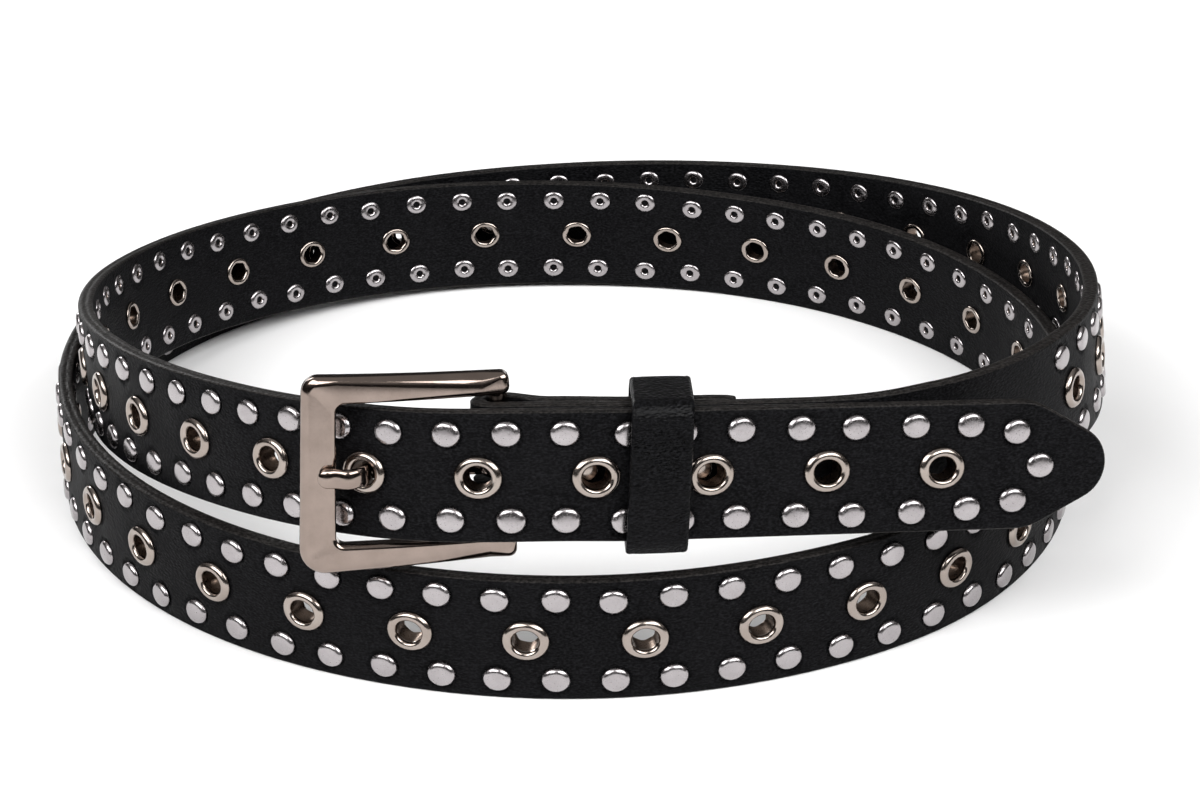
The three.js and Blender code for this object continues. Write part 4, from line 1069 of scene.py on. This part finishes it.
def make_keeper(material):
    high = HALF_WIDTH + KEEPER_ROOM
    front = HALF_THICKNESS + STUD_HEIGHT + KEEPER_ROOM
    back = -LAYER_STEP - TAIL_STEP - HALF_THICKNESS - KEEPER_ROOM - KEEPER_SLACK
    wall = KEEPER_WALL
    inner = loop_outline(high, back, front, KEEPER_INNER_RADIUS)
    outer = loop_outline(high + wall, back - wall, front + wall, KEEPER_CORNER_RADIUS)
    half = KEEPER_WIDTH / 2
    section = [(share, side - half) for share, side in KEEPER_PROFILE]
    section += [(share, half - side) for share, side in KEEPER_PROFILE[::-1]] + [(0, 0)]
    rings = []
    for a, b in zip(inner, outer):
        ring = []
        for share, along in section:
            across, out = a + (b - a) * share
            depth = (front + wall - out) / (front - back + 2 * wall)
            if out > front:
                out += KEEPER_BULGE * max(0, 1 - (across / high) ** 2) * share
            rise = KEEPER_RISE / 2 * (1 + across / (high + wall)) * depth
            ring.append((across + rise, along - KEEPER_SKEW * depth, out))
        rings.append(ring)
    keeper = np.concatenate(rings), bands(numbered_rows(rings), closed=True)
    shape = repeat(keeper, [place_on_tip_strap(KEEPER_TO_HEEL_BAR)])
    add_piece("keeper", shape, material, "keeper", 60)


def make_fold_rivets(material):
    front = -LAYER_STEP + HALF_THICKNESS + CLEARANCE
    back = -LAYER_STEP - TAIL_STEP - HALF_THICKNESS - CLEARANCE
    head, radius = FOLD_RIVET_HEAD, FOLD_RIVET_HEAD_RADIUS
    under = 0.15  # of a head's height, sunk into the leather
    dome = [(0, 1), (0.25, 0.97), (0.5, 0.87), (0.72, 0.66), (0.88, 0.38), (0.97, 0.1), (1, -under)]
    profile = [(r * radius, front + h * head) for r, h in dome]
    profile += [(FOLD_RIVET_RADIUS, front - under * head), (FOLD_RIVET_RADIUS, back + under * head)]
    profile += [(r * radius, back - h * head) for r, h in dome[::-1]]
    for i, distance in enumerate(RIVET_BACKS, 1):
        name = f"fold_rivet_{i}"
        shape = repeat(lathe(profile, RIVET_SIDES), [place_on_tip_strap(distance)])
        add_piece(name, shape, material, name, 60)


# Materials

class Nodes:
    """The nodes of a material or world. Each method adds one node and returns its output."""

    def __init__(self, owner):
        owner.use_nodes = True
        self.nodes, self.links = owner.node_tree.nodes, owner.node_tree.links

    def set(self, node, inputs):
        """Links an input to an output, or sets its number or colour."""
        for name, value in inputs.items():
            if isinstance(value, bpy.types.NodeSocket):
                self.links.new(value, node.inputs[name])
            elif isinstance(value, tuple) and node.inputs[name].type == "RGBA":
                node.inputs[name].default_value = (*value, 1)
            else:
                node.inputs[name].default_value = value

    def add(self, kind, output, inputs, **settings):
        node = self.nodes.new(kind)
        for name, value in settings.items():
            setattr(node, name, value)
        self.set(node, inputs)
        return node.outputs[output]

    def place(self):
        return self.add("ShaderNodeTexCoord", "Object", {})

    def noise(self, place, scale, detail):
        inputs = {"Vector": place, "Scale": scale, "Detail": detail, "Roughness": 0.55}
        return self.add("ShaderNodeTexNoise", "Fac", inputs)

    def ramp(self, value, low, high, start=0.35, end=0.65):
        """From low to high while the value goes from start to end."""
        inputs = {"Value": value, "From Min": start, "From Max": end, "To Min": low, "To Max": high}
        return self.add("ShaderNodeMapRange", "Result", inputs)

    def mix(self, factor, first, second):
        """Two colours mixed: the seventh and eighth inputs and the third output are the colours."""
        return self.add("ShaderNodeMix", 2, {"Factor": factor, 6: first, 7: second}, data_type="RGBA")

    def bump(self, height, distance, strength, **normal):
        inputs = {"Height": height, "Distance": distance, "Strength": strength, **normal}
        return self.add("ShaderNodeBump", "Normal", inputs)


SPECKLE_LIGHT = 4.5  # times the leather's light colour
GRAIN_SCALE = (1, 1, 2.2)  # finer across the strap


def leather_material(name, dark, light, roughness, shine):
    """Leather with broad patches, and fine speckles and cells drawn out along the strap."""
    material = bpy.data.materials.new(name)
    tree = Nodes(material)
    place = tree.place()
    grain_place = tree.add("ShaderNodeMapping", "Vector", {"Vector": place, "Scale": GRAIN_SCALE})
    broad = tree.noise(place, scale=90, detail=4)
    speckle = tree.noise(grain_place, scale=1900, detail=3)
    cells = {"Vector": grain_place, "Scale": 1300, "Smoothness": 0.5}
    grain = tree.add("ShaderNodeTexVoronoi", "Distance", cells, feature="SMOOTH_F1")
    colour = tree.mix(tree.ramp(broad, 0, 1), dark, light)
    bright = tuple(SPECKLE_LIGHT * channel for channel in light)
    fine = tree.bump(grain, distance=0.00018, strength=0.6)
    tree.set(tree.nodes["Principled BSDF"], {
        "Base Color": tree.mix(tree.ramp(speckle, 0, 1, 0.42, 0.72), colour, bright),
        "Roughness": tree.ramp(broad, *roughness, 0.3, 0.7),
        "Normal": tree.bump(speckle, distance=0.00006, strength=0.5, Normal=fine),
        "Specular IOR Level": shine,
    })
    return material


def metal_material(name, colour, shade, roughness, bump):
    """Metal with slightly duller and darker patches."""
    material = bpy.data.materials.new(name)
    tree = Nodes(material)
    place = tree.place()
    broad = tree.noise(place, scale=260, detail=3)
    fine = tree.noise(place, scale=3200, detail=2)
    tree.set(tree.nodes["Principled BSDF"], {
        "Base Color": tree.mix(tree.ramp(broad, 0, 1), colour, shade),
        "Roughness": tree.ramp(fine, *roughness),
        "Normal": tree.bump(broad, distance=0.00005, strength=bump),
        "Metallic": 1,
    })
    return material


strap_leather = leather_material(
    "strap_leather", (0.0008, 0.0008, 0.001), (0.0025, 0.0025, 0.0028), (0.44, 0.58), 0.045)
edge_paint = leather_material(
    "edge_paint", (0.003, 0.0027, 0.0026), (0.007, 0.0063, 0.006), (0.4, 0.52), 0.08)
keeper_leather = leather_material(
    "keeper_leather", (0.0006, 0.0006, 0.0007), (0.002, 0.002, 0.0023), (0.26, 0.38), 0.07)
buckle_metal = metal_material(
    "buckle_metal", (0.28, 0.226, 0.197), (0.245, 0.196, 0.17), (0.08, 0.14), 0.015)
stud_metal = metal_material(
    "stud_metal", (0.41, 0.385, 0.392), (0.36, 0.337, 0.343), (0.2, 0.28), 0.025)
eyelet_metal = metal_material(
    "eyelet_metal", (0.37, 0.322, 0.29), (0.32, 0.273, 0.243), (0.14, 0.22), 0.03)
# Darker, browner metal for the inside of the eyelets' barrels and the stud backs' pinholes: painted
# shade in the holes.
hole_painted_shade = metal_material(
    "hole_painted_shade", (0.20, 0.15, 0.12), (0.12, 0.085, 0.065), (0.25, 0.4), 0.05)

make_strap(strap_leather, edge_paint)
make_studs(stud_metal, hole_painted_shade)
make_eyelets(eyelet_metal, hole_painted_shade)
make_frame(buckle_metal)
make_prong(buckle_metal)
make_keeper(keeper_leather)
make_fold_rivets(eyelet_metal)


# Floor and light

def make_floor():
    material = bpy.data.materials.new("floor")
    tree = Nodes(material)
    tone = tree.ramp(tree.noise(tree.place(), scale=1.5, detail=2), 0, 1)
    tree.set(tree.nodes["Principled BSDF"], {
        "Base Color": tree.mix(tone, (0.91, 0.91, 0.912), (0.93, 0.93, 0.932)),
        "Roughness": 0.9,
        "Specular IOR Level": 0.1,
    })
    corners = [(x, y, 0) for x, y in arc(0, 0, FLOOR_RADIUS, 0, 360, 96)[:-1]]
    mesh = new_mesh("floor", corners, [list(range(len(corners)))])
    mesh.materials.append(material)
    floor = new_object("floor", mesh)


def area_light(name, place, target, size, power):
    data = bpy.data.lights.new(name, "AREA")
    data.shape = "RECTANGLE"
    data.size, data.size_y = size
    data.energy = power
    light = new_object(name, data)
    light.location = place
    light.rotation_euler = (Vector(target) - Vector(place)).to_track_quat("-Z", "Y").to_euler()


def make_light():
    """A sky that is dark at the horizon, two softboxes in front and a small one behind."""
    world = bpy.data.worlds.new("studio")
    bpy.context.scene.world = world
    tree = Nodes(world)
    direction = tree.add("ShaderNodeTexCoord", "Generated", {})
    height = tree.ramp(tree.add("ShaderNodeSeparateXYZ", "Z", {"Vector": direction}), 0, 1, 0.25, 0.85)
    sky = tree.mix(height, (0.06, 0.056, 0.054), (0.7, 0.69, 0.68))
    tree.set(tree.nodes["Background"], {"Color": sky, "Strength": 0.55})
    for name, place in (("left", (-0.64, -0.56, 0.85)), ("right", (0.62, -0.58, 0.85))):
        area_light(name, place, target=(0, 0.05, 0.02), size=(1.1, 0.6), power=13)
    area_light("back_left", (-0.55, 0.85, 0.42), target=(0, 0, 0.03), size=(0.35, 0.35), power=3.5)


make_floor()
make_light()
bpy.context.scene.view_settings.view_transform = "Standard"
